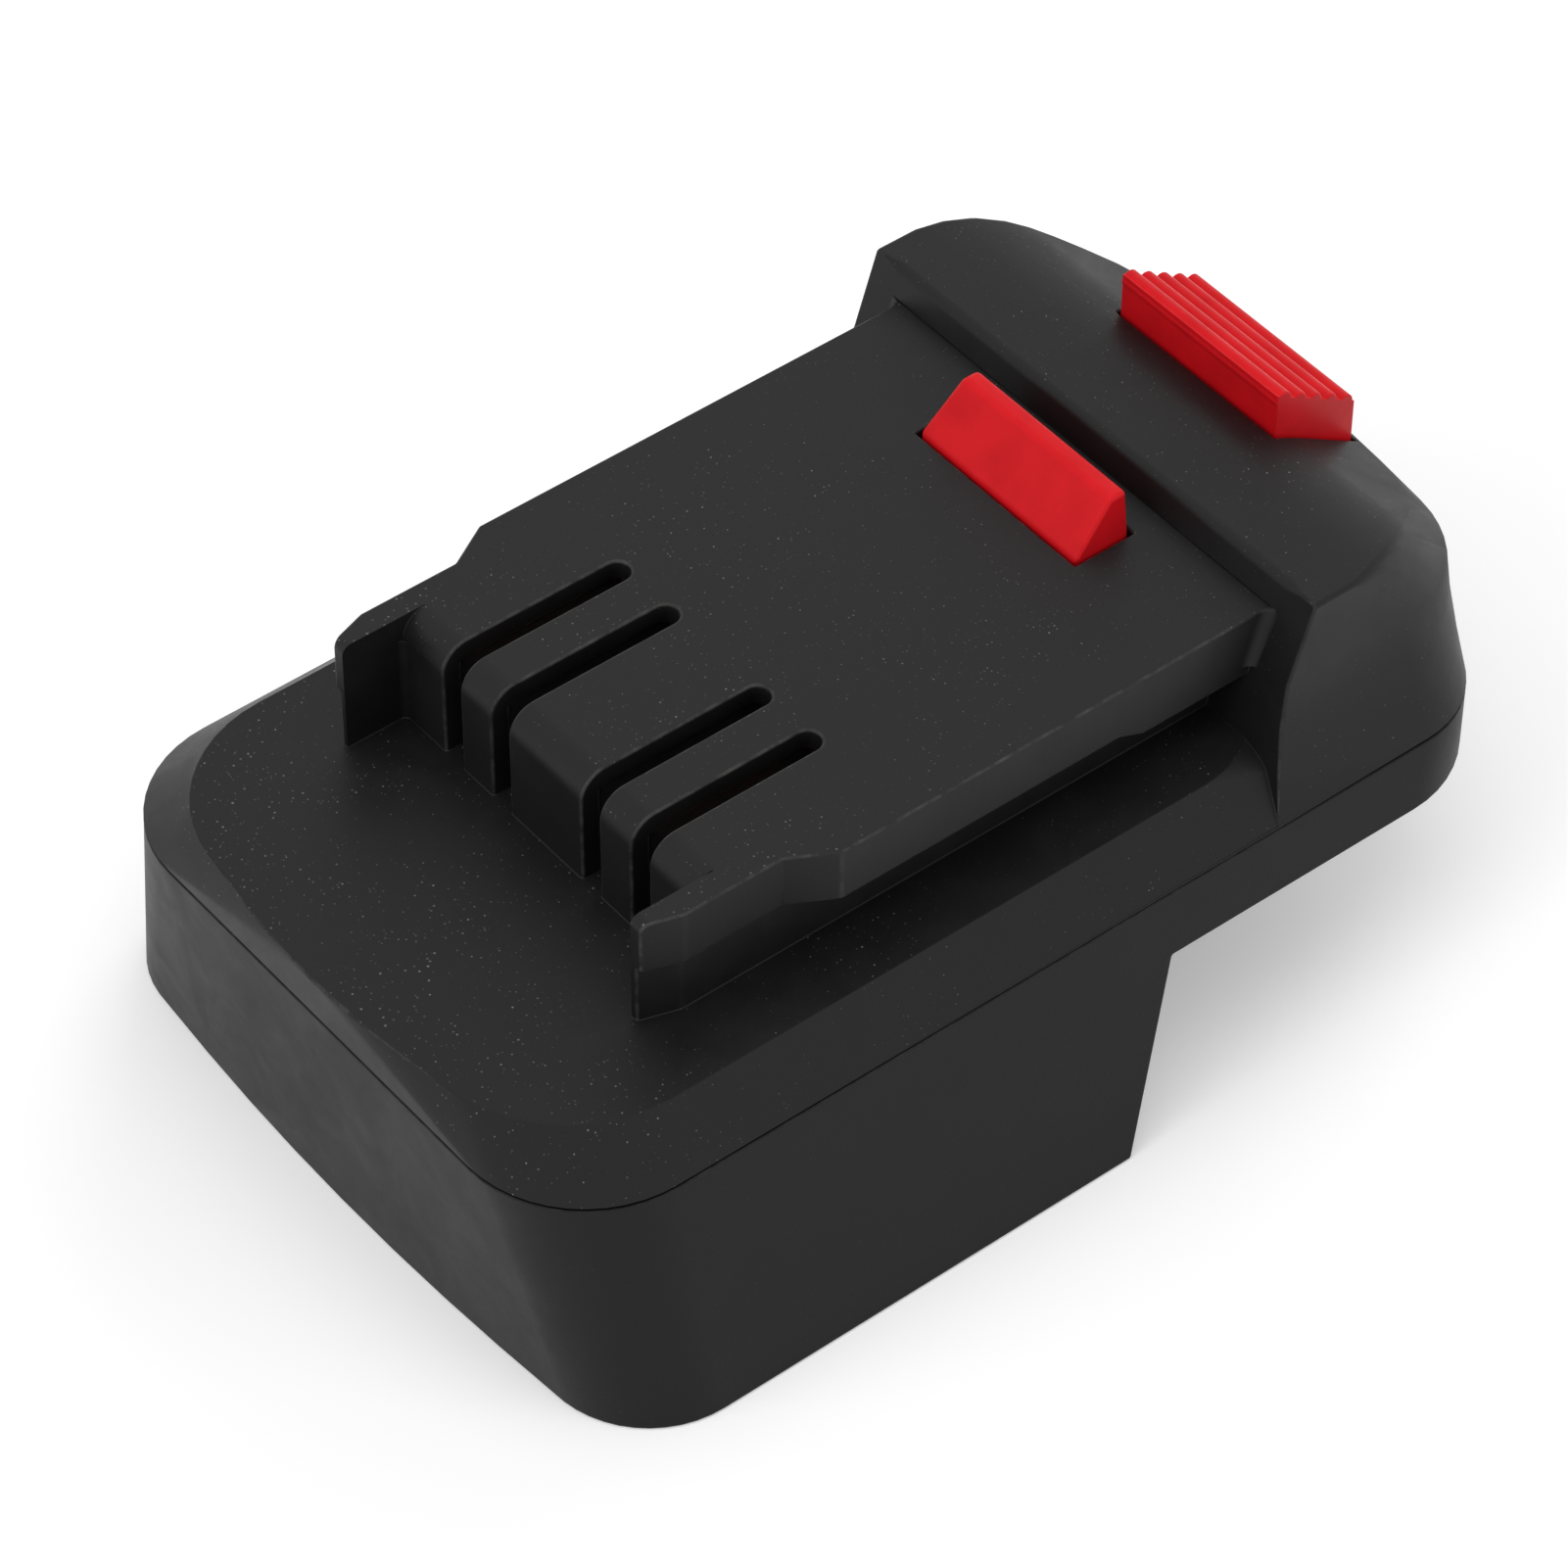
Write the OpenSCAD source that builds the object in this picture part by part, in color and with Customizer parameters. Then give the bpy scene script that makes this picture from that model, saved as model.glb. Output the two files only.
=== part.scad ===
// Adapter between a slide-on cordless tool and a slide-in pack of another kind.
// Millimetres, +Z up, +X towards the release button, origin under the middle of the body.

/* [Body] */
// Overall length from nose to tail
body_length = 121; // [112:0.5:132]
// Width of the skirt at the resting face
base_width = 86; // [82:0.5:92]
// Width of the body at the seam between the shells
seam_width = 74.8; // [72:0.2:78]
// Width of the flat shoulder around the pod
shoulder_width = 65; // [62:0.2:67]
// Height of the seam above the resting face
seam_height = 27.3; // [25:0.1:31]
// Height of the sloped band from the seam up to the shoulder
band_height = 5.4; // [4.5:0.1:8]
// Open gap between the two shells at the seam
seam_gap = 0.4; // [0.2:0.05:0.8]
// Wall of both shells
wall = 2.5; // [2:0.1:3]
// Height of the lip that centres the cover in the lower housing
lap_height = 1.8; // [1:0.1:3]
// Thickness of that lip
lap_wall = 1.2; // [0.8:0.1:1.6]

/* [Outline] */
// Corner radius of the nose at the seam
seam_corner = 13.6; // [10:0.2:16]
// Corner radius of the nose at the shoulder
shoulder_corner = 15.6; // [12:0.2:18]
// Corner radius of the nose at the resting face
base_corner = 11.4; // [9:0.2:14]
// Corner radius of the tail
tail_corner = 11.6; // [9:0.2:15]
// How far the shoulder's front edge bows forward
shoulder_bow = 1.7; // [0:0.1:3]
// How far the front edge of the resting face bows forward
base_bow = 1.5; // [0:0.1:3]
// How far the tail bows backward
tail_bow = 3.5; // [0:0.1:5]
// Corner radius of the tail at the level of the resting face, cut away below the flange
base_tail_corner = 20; // [12:0.2:24]
// Setback of the tail at the level of the resting face
base_tail_setback = 1; // [0:0.1:4]
// Setback of the seam from the tip of the nose
seam_setback = 0.3; // [0:0.1:2]
// Setback of the resting face from the tip of the nose
base_setback = 1.9; // [0:0.1:4]

/* [Pack bay] */
// Height of the bay's ceiling, which is also the underside of the rear flange
bay_height = 20.1; // [18:0.1:21.5]
// Thickness of the ceiling
ceiling = 3; // [2.5:0.1:3.5]
// Length of the skirt along the ceiling, from the nose
skirt_length = 72.5; // [66:0.1:80]
// How much shorter the skirt is at the resting face
skirt_rake = 7.7; // [0:0.1:12]
// Distance from the nose to the front of the bay
bay_setback = 5.5; // [5:0.1:8]
// Corner radius of the bay
bay_corner = 8; // [4:0.2:9]
// Width between the two lips that carry the pack's rails
mouth_width = 68; // [64:0.2:72]
// Height of those lips
lip_height = 6; // [4:0.1:8]
// Distance from the tail to the catch pocket for the pack's latch
catch_setback = 20; // [16:0.2:24]
// Length of the catch pocket
catch_length = 6; // [4.5:0.1:8]
// Width of the catch pocket
catch_width = 22; // [14:0.2:28]
// Depth of the catch pocket
catch_depth = 1.8; // [1:0.1:2]

/* [Pod] */
// Height of the pod above the shoulder
pod_height = 13.2; // [11.5:0.1:16]
// Distance from the nose to the pod's front wall
pod_setback = 27.4; // [24:0.2:30]
// Width over the rails
rail_width = 55.5; // [53:0.1:58]
// Width over the narrow front of the rails
rail_nose_width = 50; // [49.2:0.1:52]
// Width of the neck under the rails
neck_width = 48.6; // [47:0.1:49]
// Depth of the rails
rail_depth = 6.3; // [5:0.1:7.5]
// Extra depth of the rails near the head
rail_thickening = 1.3; // [0:0.1:2.5]
// Distance from the pod's front wall to the step where the rails widen
rail_step_setback = 8.4; // [6:0.1:11]
// Length of that step
rail_step = 4.85; // [2:0.05:8]
// Distance from the head to the deeper part of the rails
rail_deep_length = 15.5; // [8:0.1:22]
// Length of the slope up to the deeper part
rail_deep_slope = 3; // [1:0.1:6]
// Radius where the rails run into the head
rail_root_r = 1.5; // [0.5:0.1:3]
// Reach of the two wings ahead of the front wall
wing_reach = 7; // [4.8:0.1:9]
// Thickness of a wing
wing_thickness = 2.8; // [2.2:0.1:3.4]
// Length of the lead-in on a wing
wing_lead = 4.2; // [2:0.1:4.6]
// Depth of the lead-in on a wing
wing_taper = 1.35; // [0.4:0.05:1.6]
// Radius over the front wall's top edge
pod_edge_r = 3; // [1:0.1:4]
// Radius over the tip of a wing
wing_edge_r = 1.1; // [0.5:0.1:3]
// Radius in the corner between a wing and the front wall
wing_root_r = 0.8; // [0.5:0.1:3]

/* [Contact slots] */
// Distance between the two outer slots
slot_span_outer = 29.06; // [28:0.02:31]
// Distance between the two inner slots
slot_span_inner = 13.94; // [13:0.02:15.5]
// Width of a slot
slot_width = 2.7; // [2.2:0.1:3.2]
// Length of a slot from the front wall
slot_length = 21.1; // [18:0.1:23]

/* [Head] */
// Length of the head along the pod's top face
head_length = 28.2; // [26:0.1:32]
// Height of the head above the pod
head_rise = 3.1; // [1.5:0.1:4]
// Width of the head
head_width = 65.6; // [63:0.2:68]
// Backward lean of the head's front face over 10 mm
head_lean = 3.3; // [0:0.02:4]
// Corner radius of the head seen from above, where its sides stop flaring
head_corner = 12.6; // [9:0.1:14]
// Corner radius of the head seen from above, at its top
head_top_corner = 20; // [16:0.1:22]
// How far the rear of the head bows backward
head_bow = 1.4; // [0.6:0.1:3]
// Distance from the tail to the line where the head's top turns down
head_slope_setback = 15.2; // [14:0.05:17]
// Angle of the head's rear slope
head_slope = 32; // [28:0.5:36]
// Radius where the top turns into the slope
head_slope_r = 16; // [8:0.1:20]
// Radius where the slope turns into the rear wall and its corners
head_tail_r = 5; // [3:0.1:7]
// How far the rear wall leans in from the seam up to the slope
head_tail_lean = 1.1; // [0:0.1:1.4]
// Radius along the sides of the head at its front
head_edge_r = 0.5; // [0.4:0.1:1]
// Length along the head's sides before that radius grows
head_edge_run = 6; // [0:0.1:9]
// Radius along the sides of the head where its top turns down
head_side_r = 3; // [1.2:0.1:4]
// Radius over the front edge of the head
head_front_r = 1.2; // [1:0.1:3.6]
// Length over which that radius runs out at both ends
head_front_fade = 3; // [3:0.1:9]
// Height over which the head's sides flare out to the seam
head_flare_height = 12.6; // [9:0.1:14]

/* [Release latch] */
// Travel of the latch
latch_travel = 4.5; // [3:0.1:5]
// Clearance around the latch in its openings
latch_clearance = 0.3; // [0.2:0.05:0.5]
// Distance from the head to the front foot of the wedge
wedge_setback = 10.65; // [9:0.05:13]
// Length of the wedge
wedge_length = 6.75; // [5.5:0.05:8]
// Height of the wedge
wedge_height = 5; // [3.5:0.1:6]
// Length of the flat ridge
wedge_ridge = 2; // [1:0.1:3]
// Width of the wedge at the pod's top face
wedge_width = 23.4; // [18:0.2:26]
// How much narrower the ridge is on each side
wedge_draft = 0.6; // [0:0.05:2]
// Distance from the tail to the front face of the button
button_setback = 13.4; // [12.5:0.1:15]
// Length of the button
button_length = 10.5; // [9:0.1:10.8]
// Width of the button
button_width = 23; // [18:0.2:26]
// Height of the button's front edge above the head
button_rise = 3.7; // [3:0.1:5]
// Drop of the ribbed face from its front edge to its rear edge
button_drop = 6.4; // [4:0.1:7]
// Number of ribs on the button
rib_count = 5; // [3:1:6]
// Radius of a rib
rib_r = 0.95; // [0.6:0.05:1.2]
// Height of a rib
rib_height = 0.6; // [0.3:0.05:0.9]
// Reach of the button below the plate that joins it to the wedge
button_skirt = 2.4; // [1:0.1:3]
// Thickness of the plate that joins wedge and button
latch_plate = 2.4; // [2:0.1:3]
// Width of that plate under the pod
latch_plate_width = 32; // [26:0.2:36]

/* [Springs] */
// Outer diameter of a spring
spring_d = 6.4; // [5:0.1:8]
// Diameter of the spring wire
spring_wire = 0.7; // [0.5:0.05:0.9]
// Turns of a spring
spring_turns = 6; // [4:1:8]
// Distance between the two springs
spring_span = 18; // [14:0.2:22]
// Distance from the head to the springs
spring_setback = 6.5; // [4:0.1:9]
// Height of the pins that centre the springs
spring_pin_height = 2.5; // [1.5:0.1:3]

/* [Contacts] */
// Thickness of a power clip
power_clip_sheet = 0.6; // [0.4:0.05:0.8]
// Thickness of a signal clip
signal_clip_sheet = 0.4; // [0.3:0.05:0.5]
// Height of a power clip
power_clip_height = 8; // [6:0.1:9]
// Height of a signal clip
signal_clip_height = 6; // [4:0.1:8]
// Length of a clip's two leaves
clip_length = 15; // [12:0.1:16]
// Gap between the leaves at their closest
clip_nip = 0.7; // [0.4:0.05:1]
// Wall of the contact holder around a clip
clip_pocket = 3.8; // [3.6:0.1:4.4]
// Clearance between the contact holder and the pod
holder_clearance = 0.3; // [0.2:0.05:0.6]
// Length of the contact holder
holder_length = 21; // [19.6:0.1:23]
// Thickness of the contact holder's floor under the clips
holder_floor = 2.4; // [2:0.1:3]
// Thickness of the contact holder under its screw heads
holder_seat = 2.2; // [1.6:0.1:3]
// Distance from the front of the contact holder to its first screw
holder_screw_setback = 5.9; // [4:0.1:8]
// Distance between the two screws of the contact holder
holder_screw_span = 10.5; // [8:0.1:11.4]
// Width of the tail of a clip
clip_tail_width = 2.2; // [1.6:0.1:2.6]
// Gap between the tail of a clip and the ceiling
clip_tail_gap = 1.6; // [1:0.1:2]
// Height of the posts that carry the contact holder
holder_post = 6.9; // [6.4:0.1:7.4]

/* [Terminal block] */
// Gap from the front of the bay to the terminal block
term_setback = 1.5; // [0.8:0.1:2.5]
// Length of the terminal block
term_length = 13; // [11:0.1:14]
// Width of the terminal block
term_width = 37; // [36:0.2:40]
// Reach of the terminal block below the bay's ceiling
term_drop = 12; // [10:0.1:13]
// Rim of the terminal block on the ceiling
term_rim = 2.4; // [1.5:0.1:3]
// Thickness of that rim
term_rim_height = 2; // [1.5:0.1:2.5]
// Wall of the ears around the heads of the block's screws
term_ear_wall = 0.7; // [0.4:0.1:1.2]
// Distance between the two power blades
blade_span_power = 30; // [28:0.2:32]
// Distance between the two signal blades
blade_span_signal = 12; // [10:0.2:16]
// Distance from the bay's ceiling to the middle of a blade
blade_depth = 7; // [6:0.1:7.4]
// Height of a blade
blade_height = 6.3; // [5:0.1:7]
// Thickness of a power blade
power_blade_sheet = 0.8; // [0.6:0.05:1]
// Thickness of a signal blade
signal_blade_sheet = 0.6; // [0.4:0.05:0.8]
// Reach of a power blade behind the block
power_blade_reach = 14; // [11:0.1:16]
// Reach of a signal blade behind the block
signal_blade_reach = 10; // [8:0.1:12]
// Distance from the front of the block to the tail of a blade
blade_tail_setback = 5.2; // [3:0.1:7]
// Length of the tail of a blade along the body
blade_tail = 3; // [2:0.1:4]
// Height of the tail above the ceiling
blade_tail_rise = 4.8; // [3.8:0.1:5.2]
// Clearance around a blade in the block
blade_clearance = 0.02; // [0.01:0.01:0.05]

/* [Wires] */
// Diameter of a power wire
power_wire_d = 2.4; // [1.8:0.1:2.8]
// Diameter of a signal wire
signal_wire_d = 1.3; // [0.9:0.1:1.6]
// Sideways slack of a power wire
power_wire_slack = 2.2; // [1:0.1:3]
// Sideways slack of a signal wire
signal_wire_slack = 1.6; // [0.8:0.1:2.4]

/* [Screws] */
// Radius of a screw's shank
screw_r = 1.45; // [1.2:0.05:1.6]
// Radius of a screw's head
screw_head_r = 2.7; // [2.3:0.1:3]
// Height of a screw's head
screw_head = 1.9; // [1.5:0.1:2.2]
// Depth of a housing screw's head below the bay's ceiling
screw_sink = 1.2; // [0.4:0.1:1.6]
// Thickness of the seat above a housing screw's head
screw_seat = 3; // [2:0.1:4]
// Radial clearance where a screw passes freely
screw_clearance = 0.25; // [0.15:0.05:0.4]
// Radial clearance where a screw has cut its thread
thread_clearance = 0.02; // [0.01:0.01:0.05]
// Length of a housing screw under its head
housing_screw_length = 8; // [6:0.1:8.4]
// Length of the screws in the holder and the block under their heads
small_screw_length = 6.4; // [5:0.1:6.6]
// Distance from the nose to the front pair of housing screws
screw_front_setback = 23; // [20:0.2:26]
// Distance from the tail to the rear pair of housing screws
screw_rear_setback = 16; // [14:0.2:20]
// Distance between the two front housing screws
screw_front_span = 57; // [55:0.2:58]
// Distance between the two rear housing screws
screw_rear_span = 46; // [42:0.2:48]
// Wall of a screw boss
boss_wall = 1.8; // [1.4:0.1:2]
// Gap between facing screw bosses
boss_gap = 0.2; // [0.1:0.05:0.4]

/* [Hidden] */
$fn = 48;

// Steps in a round corner and along a bowed edge
corner_steps = 12;
edge_steps = 8;
// Steps in the rounds of the head and in the flare of its sides
round_steps = 6;
flare_steps = 3;
// Power of the curve in which the head flares out: 1 is straight
flare_power = 1.4;
// Thickness of a level inside a blend, and overlap of cutters
film = 0.01;
over = 1;

// Places along the length
nose_x = -body_length / 2;
tail_x = body_length / 2;
pod_x = nose_x + pod_setback;
head_x = tail_x - head_length;
head_slope_x = tail_x - head_slope_setback;
bay_x = nose_x + bay_setback;
skirt_x = nose_x + skirt_length;
slot_end_x = pod_x + slot_length;
wing_x = pod_x - wing_reach;
rail_step_x = pod_x + rail_step_setback;
wedge_x = head_x - wedge_setback;
button_x = tail_x - button_setback;
spring_x = head_x + spring_setback;
catch_x = tail_x - catch_setback;

// Heights
rim_z = seam_height - seam_gap / 2;
cover_z = seam_height + seam_gap / 2;
shoulder_z = seam_height + band_height;
pod_z = shoulder_z + pod_height;
head_z = pod_z + head_rise;
rail_z = pod_z - rail_depth;
ceiling_z = bay_height + ceiling;
holder_z = ceiling_z + holder_post;
plate_z = pod_z - wall - latch_clearance - latch_plate;
button_floor_z = plate_z - button_skirt - latch_travel - latch_clearance;

// Half widths
base_hw = base_width / 2;
seam_hw = seam_width / 2;
shoulder_hw = shoulder_width / 2;
rail_hw = rail_width / 2;
rail_nose_hw = rail_nose_width / 2;
neck_hw = neck_width / 2;
wing_in = rail_nose_hw - wing_thickness;
head_hw = head_width / 2;
pod_room_hw = neck_hw - wall;

// Lines and walls that follow from the outline
shoulder_in_z = shoulder_z - wall;
function skirt_hw(z) = base_hw + (seam_hw - base_hw) * z / rim_z;
function head_front(z) = head_x + (z - pod_z) * head_lean / 10;

// Housing screws: one seat height and four places
screw_seat_z = bay_height + screw_head + screw_sink;
boss_split_z = screw_seat_z + screw_seat;
boss_r = screw_r + boss_wall;
housing_screw_places = [
    for (s = [-1, 1]) [nose_x + screw_front_setback, s * screw_front_span / 2],
    for (s = [-1, 1]) [tail_x - screw_rear_setback, s * screw_rear_span / 2]];

// Contact holder and its two screws on the centre line
holder_x = pod_x + wall + holder_clearance;
holder_hw = pod_room_hw - holder_clearance;
holder_top_z = pod_z - wall - holder_clearance;
holder_screw_places = [for (i = [0, 1]) [holder_x + holder_screw_setback + i * holder_screw_span, 0]];
holder_screw_seat_z = holder_z + holder_seat;
pocket_floor_z = holder_z + holder_floor;
clip_back_x = slot_end_x - slot_width / 2;

// Terminal block and its two screws in the ears of its rim
term_x = bay_x + term_setback;
term_end_x = term_x + term_length;
term_hw = term_width / 2;
term_ear_r = screw_head_r + term_ear_wall;
term_ear_y = term_hw + term_ear_r;
term_screw_places = [for (s = [-1, 1]) [term_x + term_length / 2, s * term_ear_y]];
blade_z = bay_height - blade_depth - blade_height / 2;
blade_tail_x = term_x + blade_tail_setback;

// Solder side of the clips: a tail that comes down through the holder
clip_tail_z = ceiling_z + clip_tail_gap;
wire_gap = 0.15;

// Wires lie midway between the block's rim and the shoulder, then midway under the holder
wire_front_z = (ceiling_z + term_rim_height + shoulder_in_z) / 2;
wire_rear_z = (ceiling_z + holder_z) / 2;

// Colours of the parts as they look
black_plastic = "#2e2e30";
red_plastic = "#d8333b";
dark_insert = "#1c1c1e";
copper = "#b87333";
steel = "#b9bcc0";

function corner(cx, cy, r, from) = [
    for (i = [0:corner_steps])
        let (a = from + 90 * i / corner_steps)
        [cx + r * cos(a), cy + r * sin(a)]];

function bowed_edge(x, bow, y0, y1) = bow == 0 ? [] : [
    for (i = [1:edge_steps - 1])
        let (t = 2 * i / edge_steps - 1)
        [x + bow * t * t, y0 + (y1 - y0) * (t + 1) / 2]];

// Outline seen from above: bowed front and rear edges, round corners, straight sides
function outline(hw, front, front_bow, front_r, rear, rear_bow, rear_r) = concat(
    bowed_edge(rear, -rear_bow, rear_r - hw, hw - rear_r),
    corner(rear - rear_bow - rear_r, hw - rear_r, rear_r, 0),
    corner(front + front_bow + front_r, hw - front_r, front_r, 90),
    bowed_edge(front, front_bow, hw - front_r, front_r - hw),
    corner(front + front_bow + front_r, front_r - hw, front_r, 180),
    corner(rear - rear_bow - rear_r, rear_r - hw, rear_r, 270));

// Outline of the body at the seam, drawn in by an inset
function seam_outline(inset) = outline(
    seam_hw - inset, nose_x + seam_setback + inset, 0, seam_corner - inset,
    tail_x - inset, tail_bow, tail_corner - inset);

// Smooth route through a list of chosen points
function route(pts, steps) = [
    for (i = [0:len(pts) - 2], k = [0:steps - 1])
        let (p0 = pts[max(i - 1, 0)], p1 = pts[i], p2 = pts[i + 1], p3 = pts[min(i + 2, len(pts) - 1)],
            t = k / steps)
        0.5 * (2 * p1 + (p2 - p0) * t + (2 * p0 - 5 * p1 + 4 * p2 - p3) * t * t
            + (3 * p1 - p0 - 3 * p2 + p3) * t * t * t),
    pts[len(pts) - 1]];

function unit(v) = v / norm(v);

// Tube along a path, as rings joined by triangles and closed at both ends
module tube(path, r, sides) {
    n = len(path);
    rings = [
        for (i = [0:n - 1])
            let (t = unit(path[min(i + 1, n - 1)] - path[max(i - 1, 0)]),
                u = unit(cross([0, 0, 1], t)),
                v = cross(t, u))
            for (k = [0:sides - 1])
                path[i] + r * (cos(360 * k / sides) * u + sin(360 * k / sides) * v)];
    walls = [
        for (i = [0:n - 2], k = [0:sides - 1])
            let (a = i * sides + k, b = i * sides + (k + 1) % sides)
            each [[a, a + sides, b], [b, a + sides, b + sides]]];
    caps = [
        for (k = [1:sides - 2])
            each [[0, k, k + 1], [(n - 1) * sides, (n - 1) * sides + k + 1, (n - 1) * sides + k]]];
    polyhedron(rings, concat(walls, caps));
}

// A thin level of an outline, used inside blends
module level(z, pts) {
    translate([0, 0, z])
        linear_extrude(film)
            polygon(pts);
}

// A prism of an outline between two heights
module prism(z0, z1, pts) {
    translate([0, 0, z0])
        linear_extrude(z1 - z0)
            polygon(pts);
}

// A side profile drawn in X and Z, carried across the width
module across(hw, pts) {
    rotate([90, 0, 0])
        translate([0, 0, -hw])
            linear_extrude(2 * hw)
                polygon(pts);
}

// A box from x0 to x1 and z0 to z1, as wide as 2 * hw
module block(x0, x1, hw, z0, z1) {
    translate([x0, -hw, z0])
        cube([x1 - x0, 2 * hw, z1 - z0]);
}

// Cutter that rounds an edge running across the width, at x on the front and z on top
module round_over(x, z, r, y0, y1) {
    translate([x, y0, z])
        difference() {
            translate([-over, 0, -r])
                cube([r + over, y1 - y0, r + over]);
            translate([r, -over, -r])
                rotate([-90, 0, 0])
                    cylinder(r = r, h = y1 - y0 + 2 * over);
        }
}

// Both sides of the body at once
module both_sides() {
    children();
    mirror([0, 1, 0])
        children();
}

// Self-tapping pan-head screw: head below the seat at z = 0, point upwards
module screw(length) {
    tip = screw_r * 0.9;
    recess = screw_head_r * 0.24;
    difference() {
        union() {
            translate([0, 0, -screw_head * 0.6])
                cylinder(r = screw_head_r, h = screw_head * 0.6);
            translate([0, 0, -screw_head])
                cylinder(r1 = screw_head_r * 0.72, r2 = screw_head_r, h = screw_head * 0.4);
            cylinder(r = screw_r, h = length - tip);
            translate([0, 0, length - tip])
                cylinder(r1 = screw_r, r2 = screw_r * 0.3, h = tip);
        }
        for (a = [0, 90])
            rotate([0, 0, a])
                translate([-screw_head_r * 0.6, -recess / 2, -screw_head - over])
                    cube([screw_head_r * 1.2, recess, screw_head * 0.6 + over]);
    }
}

// A size of the head that runs out in a curve to its value at the seam
function flared(z, head, seam) =
    let (t = max(0, (cover_z + head_flare_height - z) / head_flare_height))
    head + (seam - head) * pow(t, flare_power);

// One level of the head
function head_outline(z, inset, corner) = outline(
    flared(z, head_hw, seam_hw) - inset, wedge_x, 0, over,
    flared(z, tail_x - head_tail_lean, tail_x), flared(z, head_bow, tail_bow), corner - inset);

// Height of the head's top along its length: flat, a round turn, then a straight slope
function head_top(x) =
    let (from = head_slope_x - head_slope_r * tan(head_slope / 2),
        to = from + head_slope_r * sin(head_slope))
    x < from ? head_z
        : x < to ? head_z - head_slope_r + sqrt(head_slope_r * head_slope_r - (x - from) * (x - from))
        : head_z - (x - head_slope_x) * tan(head_slope);

// Radius along the top edge, which is small in front and grows towards the tail
function head_round(x) =
    let (from = head_x + head_edge_run,
        front = max(0, (x - from) / (head_slope_x - from)),
        rear = min(1, (x - head_slope_x) / (head_slope_setback - head_bow)))
    front < 1 ? head_edge_r + (head_side_r - head_edge_r) * front
        : head_side_r + (head_tail_r - head_side_r) * rear;

// Points over the rounded top edge of the head
function head_crown() =
    let (edge = head_outline(head_z, 0, head_top_corner), inner = head_outline(head_z, 1, head_top_corner))
    [for (i = [0:len(edge) - 1], k = [0:round_steps])
        let (a = 90 * k / round_steps, r = head_round(edge[i][0]),
            p = edge[i] + (inner[i] - edge[i]) * r * (1 - cos(a)))
        [p[0], p[1], head_top(p[0]) - r * (1 - sin(a))]];

module head_solid() {
    flare_end = cover_z + head_flare_height;
    crown = head_crown();
    for (i = [0:flare_steps - 1]) {
        z0 = cover_z + head_flare_height * i / flare_steps;
        z1 = cover_z + head_flare_height * (i + 1) / flare_steps;
        hull() {
            level(z0, head_outline(z0, 0, flared(z0, head_corner, tail_corner)));
            level(z1 - film, head_outline(z1, 0, flared(z1, head_corner, tail_corner)));
        }
    }
    hull() {
        level(flare_end - film, head_outline(flare_end, 0, head_corner));
        polyhedron(crown, [[for (i = [0:len(crown) - 1]) i]]);
    }
}

// Everything behind the leaning front face of the head
module behind_head_front() {
    top = head_z + over;
    across(base_hw, [[head_front(cover_z), cover_z], [head_front(top), top],
        [tail_x + over, top], [tail_x + over, cover_z]]);
}

// Cutter for the round over the head's front edge, which runs out towards both corners
module head_front_round() {
    lean = atan(head_lean / 10);
    reach = head_front_r * tan((90 - lean) / 2);
    half = head_hw - 2 * head_edge_r - head_front_fade;
    profile = concat(
        [for (i = [0:round_steps])
            let (a = 90 + (90 - lean) * i / round_steps)
            [reach + head_front_r * cos(a), head_front_r * (sin(a) - 1)]],
        [[-reach * sin(lean) - over, -reach * cos(lean)], [-over, over], [reach, over]]);
    translate([head_front(head_z), half, head_z])
        rotate([90, 0, 0])
            linear_extrude(2 * half)
                polygon(profile);
    both_sides()
        translate([head_front(head_z), film - half, head_z])
            rotate([90, 0, 0])
                linear_extrude(head_front_fade, scale = 0)
                    polygon(profile);
}

module shoulder_solid() {
    hull() {
        level(cover_z, seam_outline(0));
        level(shoulder_z - film, outline(shoulder_hw, nose_x, shoulder_bow, shoulder_corner,
            head_x, 0, tail_corner));
    }
}

// Plan of the rails: narrow front, step and wide rear
function rail_plan() = [[pod_x, 0], [pod_x, rail_nose_hw], [rail_step_x, rail_nose_hw],
    [rail_step_x + rail_step, rail_hw], [head_x + over, rail_hw], [head_x + over, 0]];

// Round corner between a rail and the leaning front of the head, sunk a little into the head
module rail_root() {
    intersection() {
        translate([head_front(rail_z) - 2 * rail_root_r, rail_hw - 2 * film, rail_z])
            cube([head_x - head_front(rail_z) + 3 * rail_root_r, 2 * rail_root_r, pod_z - rail_z]);
        translate([head_front(rail_z) + over / 10, rail_hw, rail_z])
            rotate([0, atan(head_lean / 10), 0])
                translate([0, 0, -rail_depth])
                    linear_extrude(3 * rail_depth)
                        polygon(concat([[over, rail_root_r], [over, -film], [-rail_root_r, -film]],
                            [for (a = [-90:15:0]) rail_root_r * [cos(a) - 1, sin(a) + 1]]));
    }
}

module pod_solid() {
    deep_x = head_x - rail_deep_length;
    difference() {
        union() {
            block(pod_x, head_x + over, neck_hw, shoulder_z - film, pod_z);
            both_sides() {
                prism(rail_z, pod_z, rail_plan());
                rail_root();
            }
            across(rail_hw, [
                [deep_x - rail_deep_slope, rail_z], [deep_x, rail_z - rail_thickening],
                [head_front(rail_z), rail_z - rail_thickening], [head_front(rail_z), rail_z + film],
                [deep_x - rail_deep_slope, rail_z + film]]);
        }
        round_over(pod_x, pod_z, pod_edge_r, -wing_in, wing_in);
    }
    both_sides()
        wing();
}

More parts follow.
